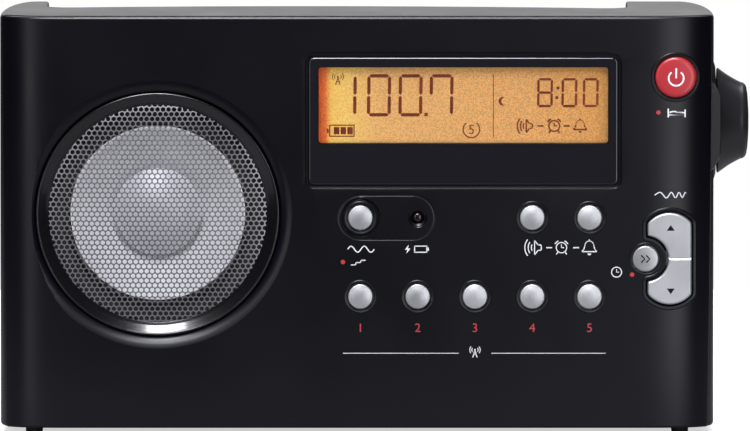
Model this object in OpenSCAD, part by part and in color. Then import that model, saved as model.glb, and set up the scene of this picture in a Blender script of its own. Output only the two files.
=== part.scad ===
// Tabletop clock radio: front speaker, back-lit display, push keys and a side volume knob.
// Millimetres, +Z up. The front faces -Y. The origin lies under the middle of the cabinet,
// on the surface that its feet stand on. A "deep" value runs back from the front face.

/* [Cabinet] */
// Width of the cabinet
body_w = 186; // [184:1:200]
// Depth of the cabinet
body_d = 55; // [54:1:65]
// Height of the cabinet without its feet
body_h = 107.5; // [106:0.5:120]
// Wall of the rear cabinet
wall = 2.2; // [1.8:0.1:2.4]
// Thickness of the front panel
panel = 2.5; // [2.3:0.1:2.8]
// Sideways reach of the rounded front corners
front_corner_x = 20; // [16:1:24]
// Backward reach of the rounded front corners
front_corner_y = 11; // [9:0.5:13]
// Sideways reach of the rounded back corners
back_corner_x = 9; // [7:0.5:10]
// Round of the top and bottom edges
edge_round = 1; // [0.4:0.1:1.4]
// Gap of the seam between the cabinet halves
seam_gap = 0.3; // [0.2:0.05:0.4]
// Depth of the side seam at the top
seam_top = 6.5; // [5.5:0.5:8]
// Depth of the side seam at the bottom
seam_bottom = 4.3; // [3.8:0.1:6]

/* [Feet and cabinet screws] */
// Height of the rubber feet
foot_h = 1.8; // [1:0.1:3]
// Width of a foot
foot_w = 4.4; // [3.5:0.1:6]
// Length of a foot
foot_l = 9; // [7:0.5:12]
// Distance of a foot's middle from the cabinet's side
foot_side = 8.8; // [8:0.1:14]
// Distance of a foot's middle from the front and the back
foot_in = 9.5; // [8.5:0.5:14]
// Depth of the pocket that holds a foot
foot_pocket = 0.6; // [0.3:0.1:1]
// Radius of the cabinet screws' shanks
screw_r = 1.4; // [1.2:0.1:1.7]
// Radius of the cabinet screws' heads
screw_head_r = 2.7; // [2.4:0.1:2.9]
// Radius of the screw bosses
boss_r = 3.2; // [3:0.1:3.6]
// Depth where the front and rear bosses meet
boss_split = 22; // [18:1:28]

/* [Speaker] */
// Distance of the speaker's middle from the left side
speaker_from_left = 41.1; // [40.5:0.1:46]
// Distance of the speaker's middle below the top
speaker_down = 51.7; // [48:0.1:56]
// Width of the dished slope in the front panel round the bezel
dish_w = 3.05; // [2.5:0.05:4]
// Width of the bezel ring round the grille
bezel_w = 3.4; // [2.8:0.1:4]
// Diameter of the visible grille
grille_d = 56.7; // [54:0.1:58]
// Depth of the grille's front
grille_deep = 3.2; // [3:0.1:3.6]
// Thickness of the grille's sheet
grille_t = 0.6; // [0.4:0.1:0.8]
// Outer diameter of the speaker's flange
speaker_d = 66; // [65:0.5:68]
// Depth of the speaker from its flange to its back
speaker_h = 25; // [23:0.5:27]
// Diameter of the speaker's magnet
magnet_d = 36; // [30:1:40]
// Thickness of the speaker's magnet
magnet_t = 7; // [5:0.5:8]
// Diameter of the voice coil
coil_d = 14; // [12:0.5:16]
// Working stroke of the cone, each way
cone_stroke = 0.6; // [0.3:0.1:0.9]

/* [Display] */
// Distance of the window's middle from the right side
window_from_right = 65.3; // [64.8:0.1:68]
// Distance of the window's middle below the top
window_down = 27.3; // [26:0.1:29]
// Width of the window's frame
window_w = 82.5; // [80:0.5:83.5]
// Height of the window's frame
window_h = 35.2; // [33:0.1:36]
// Width of the bevel round the window
window_bevel = 0.8; // [0.5:0.1:1.2]
// Thickness of the window
window_t = 1.5; // [1.2:0.1:1.7]
// Width of the visible display
lcd_w = 75.7; // [70:0.1:76.5]
// Height of the visible display
lcd_h = 20.1; // [17:0.1:21]
// Distance of the display's middle above the window's middle
lcd_up = 4.1; // [2:0.1:5]
// Border of the display glass beyond its visible part
lcd_border = 1.7; // [1.2:0.1:2]
// Thickness of the display glass
lcd_t = 1.8; // [1.2:0.1:2.2]

/* [Keys] */
// Diameter of the round keys
key_d = 6.5; // [5.5:0.1:7.2]
// How far the keys stand proud of the panel
key_proud = 0.7; // [0.6:0.1:1.2]
// Gap round a key in its hole
key_gap = 0.2; // [0.1:0.05:0.3]
// Travel of the keys
key_travel = 0.5; // [0.3:0.05:0.6]
// Distance of the first key column left of the window's middle
key_left = 26.8; // [25:0.1:28]
// Pitch of the key columns
key_pitch = 14.92; // [13:0.02:15.1]
// Distance of the upper key row below the top
upper_row_down = 52.5; // [51.5:0.1:55]
// Distance of the preset row below the top
preset_row_down = 73.1; // [70:0.1:75]
// Diameter of the power key
power_d = 10.6; // [9.5:0.1:11.2]
// Distance of the power key's middle from the right side
power_from_right = 10.06; // [9.5:0.1:11]
// Distance of the power key's middle below the top
power_down = 15.84; // [14.5:0.1:17]
// Radius of a key's stem
stem_r = 1.5; // [1.2:0.1:1.6]

/* [Tuning rocker and scan key] */
// Width of the rocker
rocker_w = 11.4; // [10.6:0.1:12]
// Height of the rocker
rocker_h = 24; // [23:0.5:26]
// Rise of the rocker's rounded ends
rocker_rise = 2.74; // [2:0.1:3.2]
// Distance of the rocker's middle from the right side
rocker_from_right = 11.6; // [11.2:0.1:12]
// Distance of the rocker's middle below the top
rocker_down = 63.2; // [60:0.1:65]
// Gap round the rocker
rocker_gap = 0.6; // [0.5:0.05:0.8]
// Tilt of the rocker each way, in degrees
rocker_tilt = 3; // [2:0.5:3.5]
// Diameter of the scan key
scan_d = 6.8; // [6:0.1:7]
// Distance of the scan key's middle left of the rocker's middle
scan_left = 6.25; // [6:0.05:6.8]
// Radius of the rocker's hollow round the scan key
scan_hollow_r = 5.96; // [5.4:0.02:6.1]

/* [Volume knob] */
// Diameter of the knob at its base
knob_d = 27.5; // [24:0.5:29]
// Diameter of the knob before its rounded tip
knob_tip_d = 19.4; // [16:0.2:21]
// Length of the knob
knob_l = 8.4; // [7.5:0.1:10]
// Distance of the knob's axis below the top
knob_down = 29.2; // [27:0.1:31]
// Running gap behind the knob
knob_gap = 0.3; // [0.2:0.05:0.6]
// Rise of the cabinet's boss under the knob
knob_boss_h = 0.7; // [0.5:0.1:1.2]
// Rise of the guard in front of the knob
guard_h = 1.9; // [1.4:0.1:2.4]
// Half height of the guard's flat
guard_half = 7.8; // [6:0.2:9]
// Radius of the volume control's shaft
shaft_r = 3; // [2.5:0.1:3.2]
// Diameter of the volume control's body
pot_d = 16; // [14:0.5:17]

/* [Grip recess and aerial] */
// Distance of the recess's left end from the left side
recess_left = 12; // [11:0.5:14]
// Distance of the recess's right end from the right side
recess_right = 22.4; // [20:0.5:26]
// Length of the recess from the back, at its ends
recess_back = 24; // [23:0.5:26]
// Backward bulge of the recess's front edge
recess_bulge = 7; // [3:0.5:7.5]
// Depth of the recess's floor below the top
recess_h = 14; // [13.5:0.5:15]
// Rounded corners of the recess
recess_round = 7; // [4:0.5:8]
// Height of the channel that the aerial lies in
channel_h = 10.2; // [9.6:0.1:10.6]
// Length of the aerial's channel from the back
channel_back = 12; // [11.5:0.5:13]
// Radius of the aerial's outer tube
aerial_r = 3.5; // [3:0.1:3.8]
// Step in radius from one tube to the next
aerial_drop = 0.55; // [0.5:0.01:0.6]
// Length of one aerial tube
aerial_l = 108; // [90:1:112]
// Pull of each aerial tube out of the last
aerial_pull = 95; // [60:1:98]

/* [Boards, jacks and battery] */
// Depth of the control board's front
board_deep = 9.5; // [9.2:0.1:10.5]
// Thickness of the circuit boards
board_t = 1.6; // [1:0.1:2]
// Height of a tact switch
switch_h = 3.5; // [3.2:0.1:3.8]
// Width of the main board
main_w = 84; // [70:1:88]
// Height of the main board
main_h = 42; // [38:1:44]
// Depth of the main board's front
main_deep = 26; // [24:0.5:28]
// Bore radius of the audio jacks
jack_bore_r = 1.8; // [1.75:0.01:1.85]
// Depth of the jacks' bores
jack_bore_l = 12; // [11:0.5:14]
// Bore radius of the power inlet
inlet_bore_r = 2.9; // [2.75:0.05:3.1]
// Pin radius of the power inlet
inlet_pin_r = 1; // [0.8:0.05:1.2]
// Pitch of the jacks
jack_pitch = 15; // [13:0.5:16]
// Depth of the jacks' axes
jack_deep = 32; // [30:0.5:34]
// Distance of the lowest jack above the cabinet's base
jack_up = 30; // [24:1:36]
// Diameter of a battery cell
cell_d = 14.2; // [13.8:0.1:14.5]
// Length of a battery cell
cell_l = 50; // [49:0.5:50.5]
// Thickness of the battery door
door_t = 2; // [1.6:0.1:2.1]
// Travel of the battery door as it lifts off
door_lift = 25; // [15:1:40]
// Diameter of the ferrite rod
ferrite_d = 8; // [7:0.5:9]
// Length of the ferrite rod
ferrite_l = 80; // [60:1:90]

/* [Hidden] */
$fn = 64;

// Cabinet frame
half_w = body_w / 2;
half_d = body_d / 2;
front_y = -half_d;
base_z = foot_h;
top_z = base_z + body_h;
front_power = 3;   // exponent of the front corners' curve: squarer than an ellipse
back_power = 2;    // the back corners are quarter ellipses
corner_steps = 10;
touch = 0.3;       // seating clearance between pieces that rest on each other
run = 0.05;        // radial running clearance of pins and shafts
cut = 1;           // overrun of a cutting shape past a face

// Depth of the curved front face at a place across the cabinet.
function front_deep(x) = let (u = max(0, abs(x) - half_w + front_corner_x) / front_corner_x)
    front_corner_y * (1 - pow(1 - pow(u, front_power), 1 / front_power));

// Front lay-out
bezel_d = grille_d + 2 * bezel_w;
dish_d = bezel_d + 2 * dish_w;
speaker_x = -half_w + speaker_from_left;
speaker_z = top_z - speaker_down;
window_x = half_w - window_from_right;
window_z = top_z - window_down;
lcd_z = window_z + lcd_up;
key_x = [for (i = [0:4]) window_x - key_left + i * key_pitch];
upper_z = top_z - upper_row_down;
preset_z = top_z - preset_row_down;
power_x = half_w - power_from_right;
power_z = top_z - power_down;
rocker_x = half_w - rocker_from_right;
rocker_z = top_z - rocker_down;
scan_x = rocker_x - scan_left;
knob_y = 0;
knob_z = top_z - knob_down;
led_x = key_x[1];
led_r = 1.5;
led_dish_r = 2.45;

// Keys and switches
flange_out = 0.8;
flange_t = 1;
switch_front = board_deep - switch_h;
switch_w = 6;
switch_pocket = 1.7;
stem_end = switch_front + switch_pocket - key_travel - 0.3;
key_bevel = 0.35;
power_rim = 0.8;
key_flange_end = half_w - 6.5;   // the power key's flange is trimmed here, inside the corner
pill_l = 25;
pill_w = 11.8;
pill_deep = 0.3;
pill_x = key_x[0] + pill_l / 2 - key_d / 2 - 2.4;
rocker_in = front_deep(rocker_x);
rocker_edge_in = front_deep(rocker_x + rocker_w / 2 + rocker_gap);
rocker_back = panel + 0.7 + rocker_in;
rocker_stem_z = rocker_h / 2 - 4;
rocker_stem_x = rocker_x + 2.2;
axle_r = 1;
axle_deep = rocker_back + 2.3;
lug_x0 = scan_x + scan_d / 2 + flange_out + 2.1;
lug_x1 = rocker_x + rocker_w / 2 - 0.4;
ear_t = 1.5;
ear_gap = 0.2;

// Display stack
bezel_gap = 0.15;
pocket_deep = window_t + 0.2;
lens_w = window_w - 2 * window_bevel - 2 * bezel_gap;
lens_h = window_h - 2 * window_bevel - 2 * bezel_gap;
lcd_deep = panel + touch;
guide_deep = lcd_deep + lcd_t + 0.1;
guide_t = board_deep - 0.4 - guide_deep;
holder_t = 1.6;
holder_w = lcd_w + 2 * lcd_border + 2 * holder_t + 0.4;
holder_h = lcd_h + 2 * lcd_border + 2 * holder_t + 0.4;
led_bay = 2.6;

// Control board and its bosses
board_x0 = window_x - holder_w / 2 - 1;
board_x1 = half_w - wall - 2.3;
board_z0 = preset_z - 7.2;
board_z1 = lcd_z + holder_h / 2;
board_boss_r = 2.4;
board_screw_r = 1;
board_bosses = [
    [board_x0 + 4, board_z0 + 4], [board_x0 + 4, upper_z + 6],
    [key_x[4] + 8, board_z0 + 3], [window_x + window_w / 2 + 4, upper_z + 3]
];

// Cabinet screws: two below the recess and two near the base
boss_in = 10;
cabinet_bosses = [
    [-half_w + boss_in - 1, speaker_z + speaker_d / 2], [-half_w + boss_in, base_z + wall + 7],
    [half_w - boss_in, base_z + wall + 7], [window_x + window_w / 2 + 5.2, window_z - 8]
];
head_sink = 4;
screw_tip = panel + 3;

// Speaker stack
gasket_deep = grille_deep + grille_t;
gasket_t = 0.8;
flange_deep = gasket_deep + gasket_t;
flange_th = 1;
basket_lip = 4.5;
neck_deep = flange_deep + speaker_h - magnet_t - 5.5;
top_plate_t = 2;
cone_rim_r = speaker_d / 2 - basket_lip - 5.7;
cone_rim_deep = flange_deep + 1.3;
cone_neck_deep = flange_deep + 8.5;
cone_t = 0.5;
cap_r = 11.3;
cap_ball_r = 17.5;
cap_slope = (cone_neck_deep - cone_rim_deep) / (cone_rim_r - coil_d / 2 - 0.6);
cap_deep = cone_rim_deep + (cone_rim_r - cap_r - 1) * cap_slope - 0.2
    - cap_ball_r + (cap_ball_r - cone_t) * sqrt(1 - pow(cap_r / cap_ball_r, 2));
coil_gap = 0.35;
spider_deep = neck_deep - 2.5;
spider_r = magnet_d / 2 - 1;
roll_r = 2.5;
can_h = 4;
speaker_boss = speaker_d / 2 + 3.1;

// Volume control
boss_base_r = knob_d / 2 + 2.45;
boss_tip_r = knob_d / 2 + 0.15;
knob_x0 = half_w + knob_boss_h + knob_gap;
knob_x1 = knob_x0 + knob_l;
seat_x = half_w - wall - 2.4;
pot_t = 8;
bush_r = shaft_r + 1;
nut_t = 2;
nut_r = 5.6;
hollow_r = 7.4;
hollow_l = 3.2;
shaft_end = knob_x1 - 2;
knob_tip_round = 1.6;

// Grip recess, channel and aerial
recess_deep = body_d - recess_back;
channel_deep = body_d - channel_back;
recess_x0 = -half_w + recess_left;
recess_x1 = half_w - recess_right;
recess_z = top_z - recess_h;
bulge_x = (recess_x0 + recess_x1) / 2 - 8;
aerial_x = recess_x0 + 9;
aerial_y = half_d - 7;
aerial_z = recess_z + 5.3;
fork_r = 4.6;
fork_slot = 4.2;
fork_open = 3.2;     // how far the slot reaches below the pin, and the fork above it
fork_pin_l = 6;
tongue_t = 4;
tongue_l = 8;
tongue_r = 2.9;
tongue_h = 4.8;
hinge_pin_r = 1.2;
spindle_r = 3;
spindle_l = 5;
tube_t = 0.5;
tube_stick = 2;
tip_l = 6;

// Ferrite rod
rod_deep = recess_deep - wall - ferrite_d / 2 - 7;
rod_z = top_z - wall - ferrite_d / 2 - 1;

// Main board
main_x = window_x - 2;
main_z0 = recess_z - wall - 4 - main_h;
main_posts = [for (sx = [-1, 1], sz = [0, 1]) [main_x + sx * (main_w / 2 - 4), main_z0 + 4 + sz * (main_h - 8)]];

// Jacks on the left side
jack_y = front_y + jack_deep;
jack_z = [for (i = [0:2]) base_z + jack_up + i * jack_pitch];
jack_floor_x = -half_w + 3.4;
jack_seat_x = jack_floor_x + 2;
jack_noses = [4.2, 3.4, 3.4];
jack_dish_r = 5.2;
jack_body = 10;
jack_back_x = jack_seat_x + jack_bore_l + 1.2;

// Battery compartment
cell_gap = 0.4;
spring_l = 3.4;
bay_w = 2 * cell_l + 9;
bay_h = 2 * cell_d + 3 * cell_gap;
bay_z0 = base_z + wall + 3.2;
bay_wall = 1.6;
door_lap = 1;
door_gap = 0.2;
door_w = bay_w + 2 * door_lap;
door_h = bay_h + 2 * door_lap;
back_in = body_d - wall;
door_in = body_d - door_t;
cell_deep = door_in - cell_gap - cell_d / 2;
bay_front = cell_deep - cell_d / 2 - cell_gap;
cell_z = [for (row = [0, 1]) bay_z0 + cell_gap + cell_d / 2 + row * (cell_d + cell_gap)];

// ---- placing helpers -------------------------------------------------------------

// A child that points along +Z then points backwards, from a depth behind the front face.
module deep(x, z, d) translate([x, front_y + d, z]) rotate([-90, 0, 0]) children();

// A flat outline drawn in X and Z, made a plate between two depths.
module plate(d0, d1) translate([0, front_y + d1, 0]) rotate([90, 0, 0]) linear_extrude(d1 - d0) children();

// A child that points along +Z then points along +X.
module along_x(x, y, z) translate([x, y, z]) rotate([0, 90, 0]) children();

// A box given by its lowest and highest corners, Y as depths.
module block(x0, x1, d0, d1, z0, z1) translate([x0, front_y + d0, z0]) cube([x1 - x0, d1 - d0, z1 - z0]);

module round_rect(w, h, r) {
    square([w - 2 * r, h], center = true);
    square([w, h - 2 * r], center = true);
    for (sx = [-1, 1], sy = [-1, 1]) translate([sx * (w / 2 - r), sy * (h / 2 - r)]) circle(r);
}

module at(x, z) translate([x, z]) children();

// ---- cabinet outline -------------------------------------------------------------

// Quarter of a corner from its side end to its front or back end.
function corner(cx, cy, ax, ay, n) = [
    for (i = [0:corner_steps]) let (t = 90 * i / corner_steps)
        [cx + ax * pow(cos(t), 2 / n), cy + ay * pow(sin(t), 2 / n)]
];
function backwards(v) = [for (i = [len(v) - 1:-1:0]) v[i]];
function rest(v) = [for (i = [1:len(v) - 1]) v[i]];
function mirrored(v) = [for (p = backwards(v)) [-p[0], p[1]]];
wide_y = front_y + front_corner_y;
function right_side(inset) = concat(
    backwards(corner(half_w - front_corner_x, wide_y, front_corner_x - inset, inset - front_corner_y, front_power)),
    rest(corner(half_w - back_corner_x, wide_y, back_corner_x - inset,
        body_d - front_corner_y - inset, back_power))
);
function plan(inset) = concat(right_side(inset), mirrored(right_side(inset)));

// The closed outer form: the plan carried up through rings with rounded top and bottom edges.
round_steps = 3;
rings = concat(
    [for (i = [0:round_steps]) let (a = 90 * i / round_steps)
        [base_z + edge_round * (1 - sin(a)), edge_round * (1 - cos(a))]],
    [for (i = [0:round_steps]) let (a = 90 * i / round_steps)
        [top_z - edge_round * (1 - sin(a)), edge_round * (1 - cos(a))]]
);
body_rings = concat(backwards([for (i = [0:round_steps]) rings[i]]),
    [for (i = [round_steps + 1:2 * round_steps + 1]) rings[i]]);
module body_form() {
    n = len(plan(0));
    m = len(body_rings);
    points = [for (r = body_rings) for (p = plan(r[1])) [p[0], p[1], r[0]]];
    sides = [for (j = [0:m - 2], i = [0:n - 1]) let (k = (i + 1) % n)
        [j * n + i, (j + 1) * n + i, (j + 1) * n + k, j * n + k]];
    caps = [[for (i = [0:n - 1]) i], [for (i = [n - 1:-1:0]) (m - 1) * n + i]];
    polyhedron(points = points, faces = concat(sides, caps), convexity = 4);
}

// Everything behind the front panel's back, and behind the leaning side seam.
module rear_zone(gap) {
    shift = panel + gap;
    right = backwards(corner(half_w - front_corner_x, wide_y + shift, front_corner_x,
        -front_corner_y, front_power));
    far = [[half_w + 10, wide_y + shift], [half_w + 10, body_d]];
    translate([0, 0, base_z - cut]) linear_extrude(body_h + 2 * cut)
        polygon(concat(right, far, mirrored(concat(right, far))));
    lean = atan((seam_top - seam_bottom) / body_h);
    translate([0, front_y + seam_bottom + gap, base_z]) rotate([-lean, 0, 0])
        translate([-half_w - 10, 0, -10]) cube([2 * half_w + 20, body_d + 20, body_h + 30]);
}

// ---- cabinet halves --------------------------------------------------------------

// The raised guard in front of the knob and the low boss that the knob turns on.
module guard_form() {
    root_x = half_w - 4;
    slope = (boss_base_r - 4.7 - guard_half) / guard_h;
    root_half = guard_half + slope * (guard_h + 4);
    difference() {
        intersection() {
            translate([0, front_y + seam_bottom + 0.3, knob_z]) rotate([-90, 0, 0])
                linear_extrude(knob_y - front_y - seam_bottom)
                polygon([[root_x, -root_half], [half_w + guard_h, -guard_half],
                    [half_w + guard_h, guard_half], [root_x, root_half]]);
            translate([0, 0, knob_z - 25]) linear_extrude(50) polygon(plan(-guard_h));
        }
        along_x(half_w + knob_boss_h, knob_y, knob_z) cylinder(r = knob_d / 2 + 0.4, h = guard_h + cut);
    }
    along_x(half_w - 3, knob_y, knob_z)
        cylinder(r1 = boss_base_r + 3 * (boss_base_r - boss_tip_r) / knob_boss_h / 4, r2 = boss_tip_r,
            h = 3 + knob_boss_h);
}

module key_hole(x, z, d, rim) {
    in = front_deep(x);
    deep(x, z, -cut) cylinder(d = d + 2 * key_gap, h = panel + front_deep(x + d / 2) + 2 * cut);
    deep(x, z, in - cut) cylinder(r1 = d / 2 + rim + cut, r2 = d / 2 + key_gap, h = cut + rim - key_gap);
}

module rocker_outline(grow) {
    bulge_r = rocker_w * rocker_w / (8 * rocker_rise) + rocker_rise / 2;
    at(rocker_x, rocker_z) intersection() {
        square([rocker_w + 2 * grow, rocker_h + 2 * grow], center = true);
        union() {
            square([rocker_w + 2 * grow, rocker_h - 4 * rocker_rise], center = true);
            for (s = [-1, 1]) translate([0, s * (rocker_h / 2 - bulge_r)]) circle(bulge_r + grow);
        }
    }
}

module front_cabinet() color([0.07, 0.07, 0.08]) difference() {
    union() {
        difference() {
            union() {
                body_form();
                guard_form();
            }
            rear_zone(0);
            translate([half_w - 14, front_y + seam_top + cut, base_z]) cube([30, body_d, body_h]);
            translate([-half_w - 1, front_y + seam_top + cut, base_z]) cube([15, body_d, body_h]);
        }
        // locating ribs inside the top and bottom walls of the rear half
        for (z = [base_z + wall + 0.2, top_z - wall - 1.6])
            block(-half_w + front_corner_x, half_w - front_corner_x, panel - 0.5, panel + 3, z, z + 1.4);
        // bosses for the control board, the speaker and the cabinet screws
        for (b = board_bosses) deep(b[0], b[1], panel - 0.5) cylinder(r = board_boss_r, h = board_deep - panel + 0.5);
        for (b = cabinet_bosses) deep(b[0], b[1], panel - 0.5) cylinder(r = boss_r, h = boss_split - panel + 0.5);
        for (a = [45, 135, 225, 315]) deep(speaker_x + speaker_boss * cos(a), speaker_z + speaker_boss * sin(a),
            panel - 0.5) cylinder(r = 2.6, h = flange_deep - panel + 0.5);
        // wall round the grille and bezel
        deep(speaker_x, speaker_z, panel - 0.5) difference() {
            cylinder(d = bezel_d + 3, h = gasket_deep - panel + 0.5);
            translate([0, 0, -cut]) cylinder(d = bezel_d + 0.2, h = 20);
        }
        // ears that carry the rocker's axle
        for (x = [lug_x0 - ear_gap - ear_t, lug_x1 + ear_gap])
            block(x, x + ear_t, panel + front_deep(x) - 0.5, axle_deep + 2, rocker_z - 2.2, rocker_z + 2.2);
    }
    // speaker dish and opening
    deep(speaker_x, speaker_z, -0.001) cylinder(d1 = dish_d, d2 = bezel_d + 0.2, h = panel - 0.6);
    deep(speaker_x, speaker_z, -cut) cylinder(d = bezel_d + 0.2, h = panel + 2 * cut);
    // window pocket with its bevel, and the opening over the display
    plate(-cut, pocket_deep) at(window_x, window_z)
        round_rect(lens_w + 2 * bezel_gap, lens_h + 2 * bezel_gap, 1);
    plate(-cut, 0.45) at(window_x, window_z) round_rect(window_w, window_h, 1.6);
    plate(0, panel + cut) at(window_x, lcd_z) round_rect(lcd_w, lcd_h, 0.9);
    // key holes
    for (x = key_x) key_hole(x, preset_z, key_d, 0.5);
    for (i = [0, 3, 4]) key_hole(key_x[i], upper_z, key_d, 0.5);
    key_hole(power_x, power_z, power_d, power_rim);
    key_hole(scan_x, rocker_z, scan_d, 0.5);
    plate(-cut, panel + rocker_edge_in + 0.1) difference() {
        rocker_outline(rocker_gap);
        at(scan_x, rocker_z) circle(scan_hollow_r - rocker_gap);
    }
    // shallow dish and ring round the band key, and the dish of the charge lamp
    plate(-cut, pill_deep) at(pill_x, upper_z) rotate(90) capsule(pill_w, pill_l);
    deep(key_x[0], upper_z, -cut) difference() {
        cylinder(r = key_d / 2 + 1.85, h = cut + 0.6);
        translate([0, 0, -cut]) cylinder(r = key_d / 2 + 1.35, h = 5);
    }
    deep(led_x, upper_z, -0.001) cylinder(r1 = led_dish_r, r2 = led_r + 0.3, h = 1.2);
    deep(led_x, upper_z, 0) cylinder(r = led_r + 0.15, h = panel + cut);
    // pilot holes
    for (b = board_bosses) deep(b[0], b[1], panel + 1.2) cylinder(r = board_screw_r + 0.05, h = board_deep);
    for (b = cabinet_bosses) deep(b[0], b[1], screw_tip - 0.5) cylinder(r = screw_r + run, h = body_d);
    for (a = [45, 135, 225, 315]) deep(speaker_x + speaker_boss * cos(a), speaker_z + speaker_boss * sin(a),
        panel) cylinder(r = board_screw_r + 0.05, h = 20);
    for (x = [lug_x0 - 4, lug_x1 - 2]) along_x(x, front_y + axle_deep, rocker_z) cylinder(r = axle_r + run, h = 6);
}

// Plan of the grip recess, grown by a wall where its liner is drawn.
function recess_edge(x, grow) = let (
        e = min(x - recess_x0 + grow, recess_x1 + grow - x),
        r = recess_round + grow,
        k = 4 * recess_bulge / pow(recess_x1 - recess_x0, 2)
    ) recess_deep + recess_bulge - k * pow(x - bulge_x, 2) - grow
        + (e < r ? r - sqrt(max(0, r * r - pow(r - e, 2))) : 0);
module recess_plan(grow) {
    x0 = recess_x0 - grow;
    x1 = recess_x1 + grow;
    ends = [0, 0.5, 1.5, 3, 5, recess_round + grow];
    inner = [for (i = [1:11]) x0 + recess_round + grow + (x1 - x0 - 2 * recess_round - 2 * grow) * i / 12];
    xs = concat([for (e = ends) x0 + e], inner, backwards([for (e = ends) x1 - e]));
    polygon(concat([for (x = xs) [x, front_y + recess_edge(x, grow)]], [[x1, half_d + 5], [x0, half_d + 5]]));
}
module recess_form(grow) {
    translate([0, 0, recess_z - grow]) linear_extrude(recess_h + 2 * grow + cut) recess_plan(grow);
    block(-half_w - 5, half_w + 5, channel_deep - grow, body_d + 5, recess_z - grow, recess_z + channel_h + grow);
}

module rear_cabinet() color([0.09, 0.09, 0.1]) difference() {
    union() {
        difference() {
            union() {
                body_form();
                guard_form();
            }
            translate([0, 0, base_z + wall]) linear_extrude(body_h - 2 * wall) polygon(plan(wall));
        }
        intersection() {
            body_form();
            recess_form(wall);
        }
        // bosses of the cabinet screws and posts of the main board
        for (b = cabinet_bosses) deep(b[0], b[1], boss_split + touch)
            cylinder(r = boss_r, h = back_in - boss_split - touch + 0.5);
        for (p = main_posts) deep(p[0], p[1], main_deep + board_t) cylinder(r = 2.6, h = back_in - main_deep - board_t + 0.5);
        // battery compartment
        block(-bay_w / 2 - bay_wall, bay_w / 2 + bay_wall, bay_front - bay_wall, back_in + 0.5,
            bay_z0 - bay_wall, bay_z0 + bay_h + bay_wall);
        block(-bay_w / 2 - bay_wall - 0.6, bay_w / 2 + bay_wall + 0.6, door_in - 2.2, back_in + 0.5,
            bay_z0 - door_lap - 1.4, bay_z0 + bay_h + door_lap + 1.4);
        // flat seats for the volume control and the jacks, and the swivel's socket
        along_x(seat_x, knob_y, knob_z) cylinder(r = pot_d / 2 + 1, h = 4);
        block(-half_w + 3.2, jack_seat_x, jack_deep - 7.5, jack_deep + 7.5, jack_z[0] - 8, jack_z[2] + 8);
        translate([aerial_x, aerial_y, recess_z - spindle_l - 1.6]) cylinder(r = spindle_r + 2.2, h = spindle_l + 1);
        // saddles of the ferrite rod, hung from the recess's liner
        for (s = [-1, 1]) block(window_x + s * ferrite_l / 2 * 0.7 - 2, window_x + s * ferrite_l / 2 * 0.7 + 2,
            rod_deep - ferrite_d / 2 - 2, rod_deep + ferrite_d / 2 + 2, rod_z, top_z - wall + 0.5);
    }
    difference() {
        translate([-150, -100, -10]) cube([300, 200, 200]);
        rear_zone(seam_gap);
    }
    recess_form(0);
    // screw holes with sunk heads
    for (b = cabinet_bosses) {
        deep(b[0], b[1], boss_split) cylinder(r = screw_r + 0.3, h = body_d);
        deep(b[0], b[1], body_d - head_sink) cylinder(r = screw_head_r + 0.3, h = head_sink + 5);
    }
    for (p = main_posts) deep(p[0], p[1], main_deep) cylinder(r = board_screw_r + run, h = board_t + 8);
    // battery bay, door seat, pegs and finger notch
    block(-bay_w / 2, bay_w / 2, bay_front, body_d + 5, bay_z0, bay_z0 + bay_h);
    block(-door_w / 2 - door_gap, door_w / 2 + door_gap, door_in - door_gap, body_d + 5,
        bay_z0 - door_lap - door_gap, bay_z0 + bay_h + door_lap + door_gap);
    // volume control's bush
    along_x(seat_x - cut, knob_y, knob_z) cylinder(r = bush_r + 0.15, h = 20);
    // jack dishes and noses
    for (i = [0:2]) {
        along_x(-half_w - cut, jack_y, jack_z[i]) cylinder(r = jack_dish_r, h = jack_floor_x + half_w + cut);
        along_x(-half_w, jack_y, jack_z[i]) cylinder(r = jack_noses[i] + 0.15, h = 20);
    }
    // swivel's socket
    translate([aerial_x, aerial_y, recess_z - spindle_l - 0.2]) cylinder(r = spindle_r + run, h = spindle_l + 5);
    // rod bore
    along_x(window_x - ferrite_l / 2 - 1, front_y + rod_deep, rod_z) cylinder(d = ferrite_d + 0.1, h = ferrite_l + 2);
    // foot pockets
    for (sx = [-1, 1], d = [foot_in, body_d - foot_in]) foot(sx, d, foot_pocket + 0.001, 0.1);
}
module foot(sx, d, h, grow) translate([sx * (half_w - foot_side), front_y + d, base_z - (h > 1 ? foot_h : 0)])
    linear_extrude(h) capsule(foot_w + 2 * grow, foot_l + 2 * grow);
module capsule(w, l) {
    square([w, l - w], center = true);
    for (s = [-1, 1]) translate([0, s * (l - w) / 2]) circle(d = w);
}
module feet() color([0.12, 0.12, 0.12]) for (sx = [-1, 1], d = [foot_in, body_d - foot_in])
    foot(sx, d, foot_h + foot_pocket, 0);

module battery_door() color([0.09, 0.09, 0.1]) {
    difference() {
        block(-door_w / 2, door_w / 2, door_in, body_d, bay_z0 - door_lap, bay_z0 + bay_h + door_lap);
        for (i = [0:3]) block(-9 + i, 9 - i, body_d - 0.9 + i * 0.2, body_d + cut,
            bay_z0 + bay_h - 3 - i * 1.6, bay_z0 + bay_h - 2.2 - i * 1.6);
    }
    for (x = [-door_w / 3, door_w / 3]) block(x - 3, x + 3, door_in - 2, door_in + 0.1,
        bay_z0 + 0.2, bay_z0 + 1.4);
}

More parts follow.
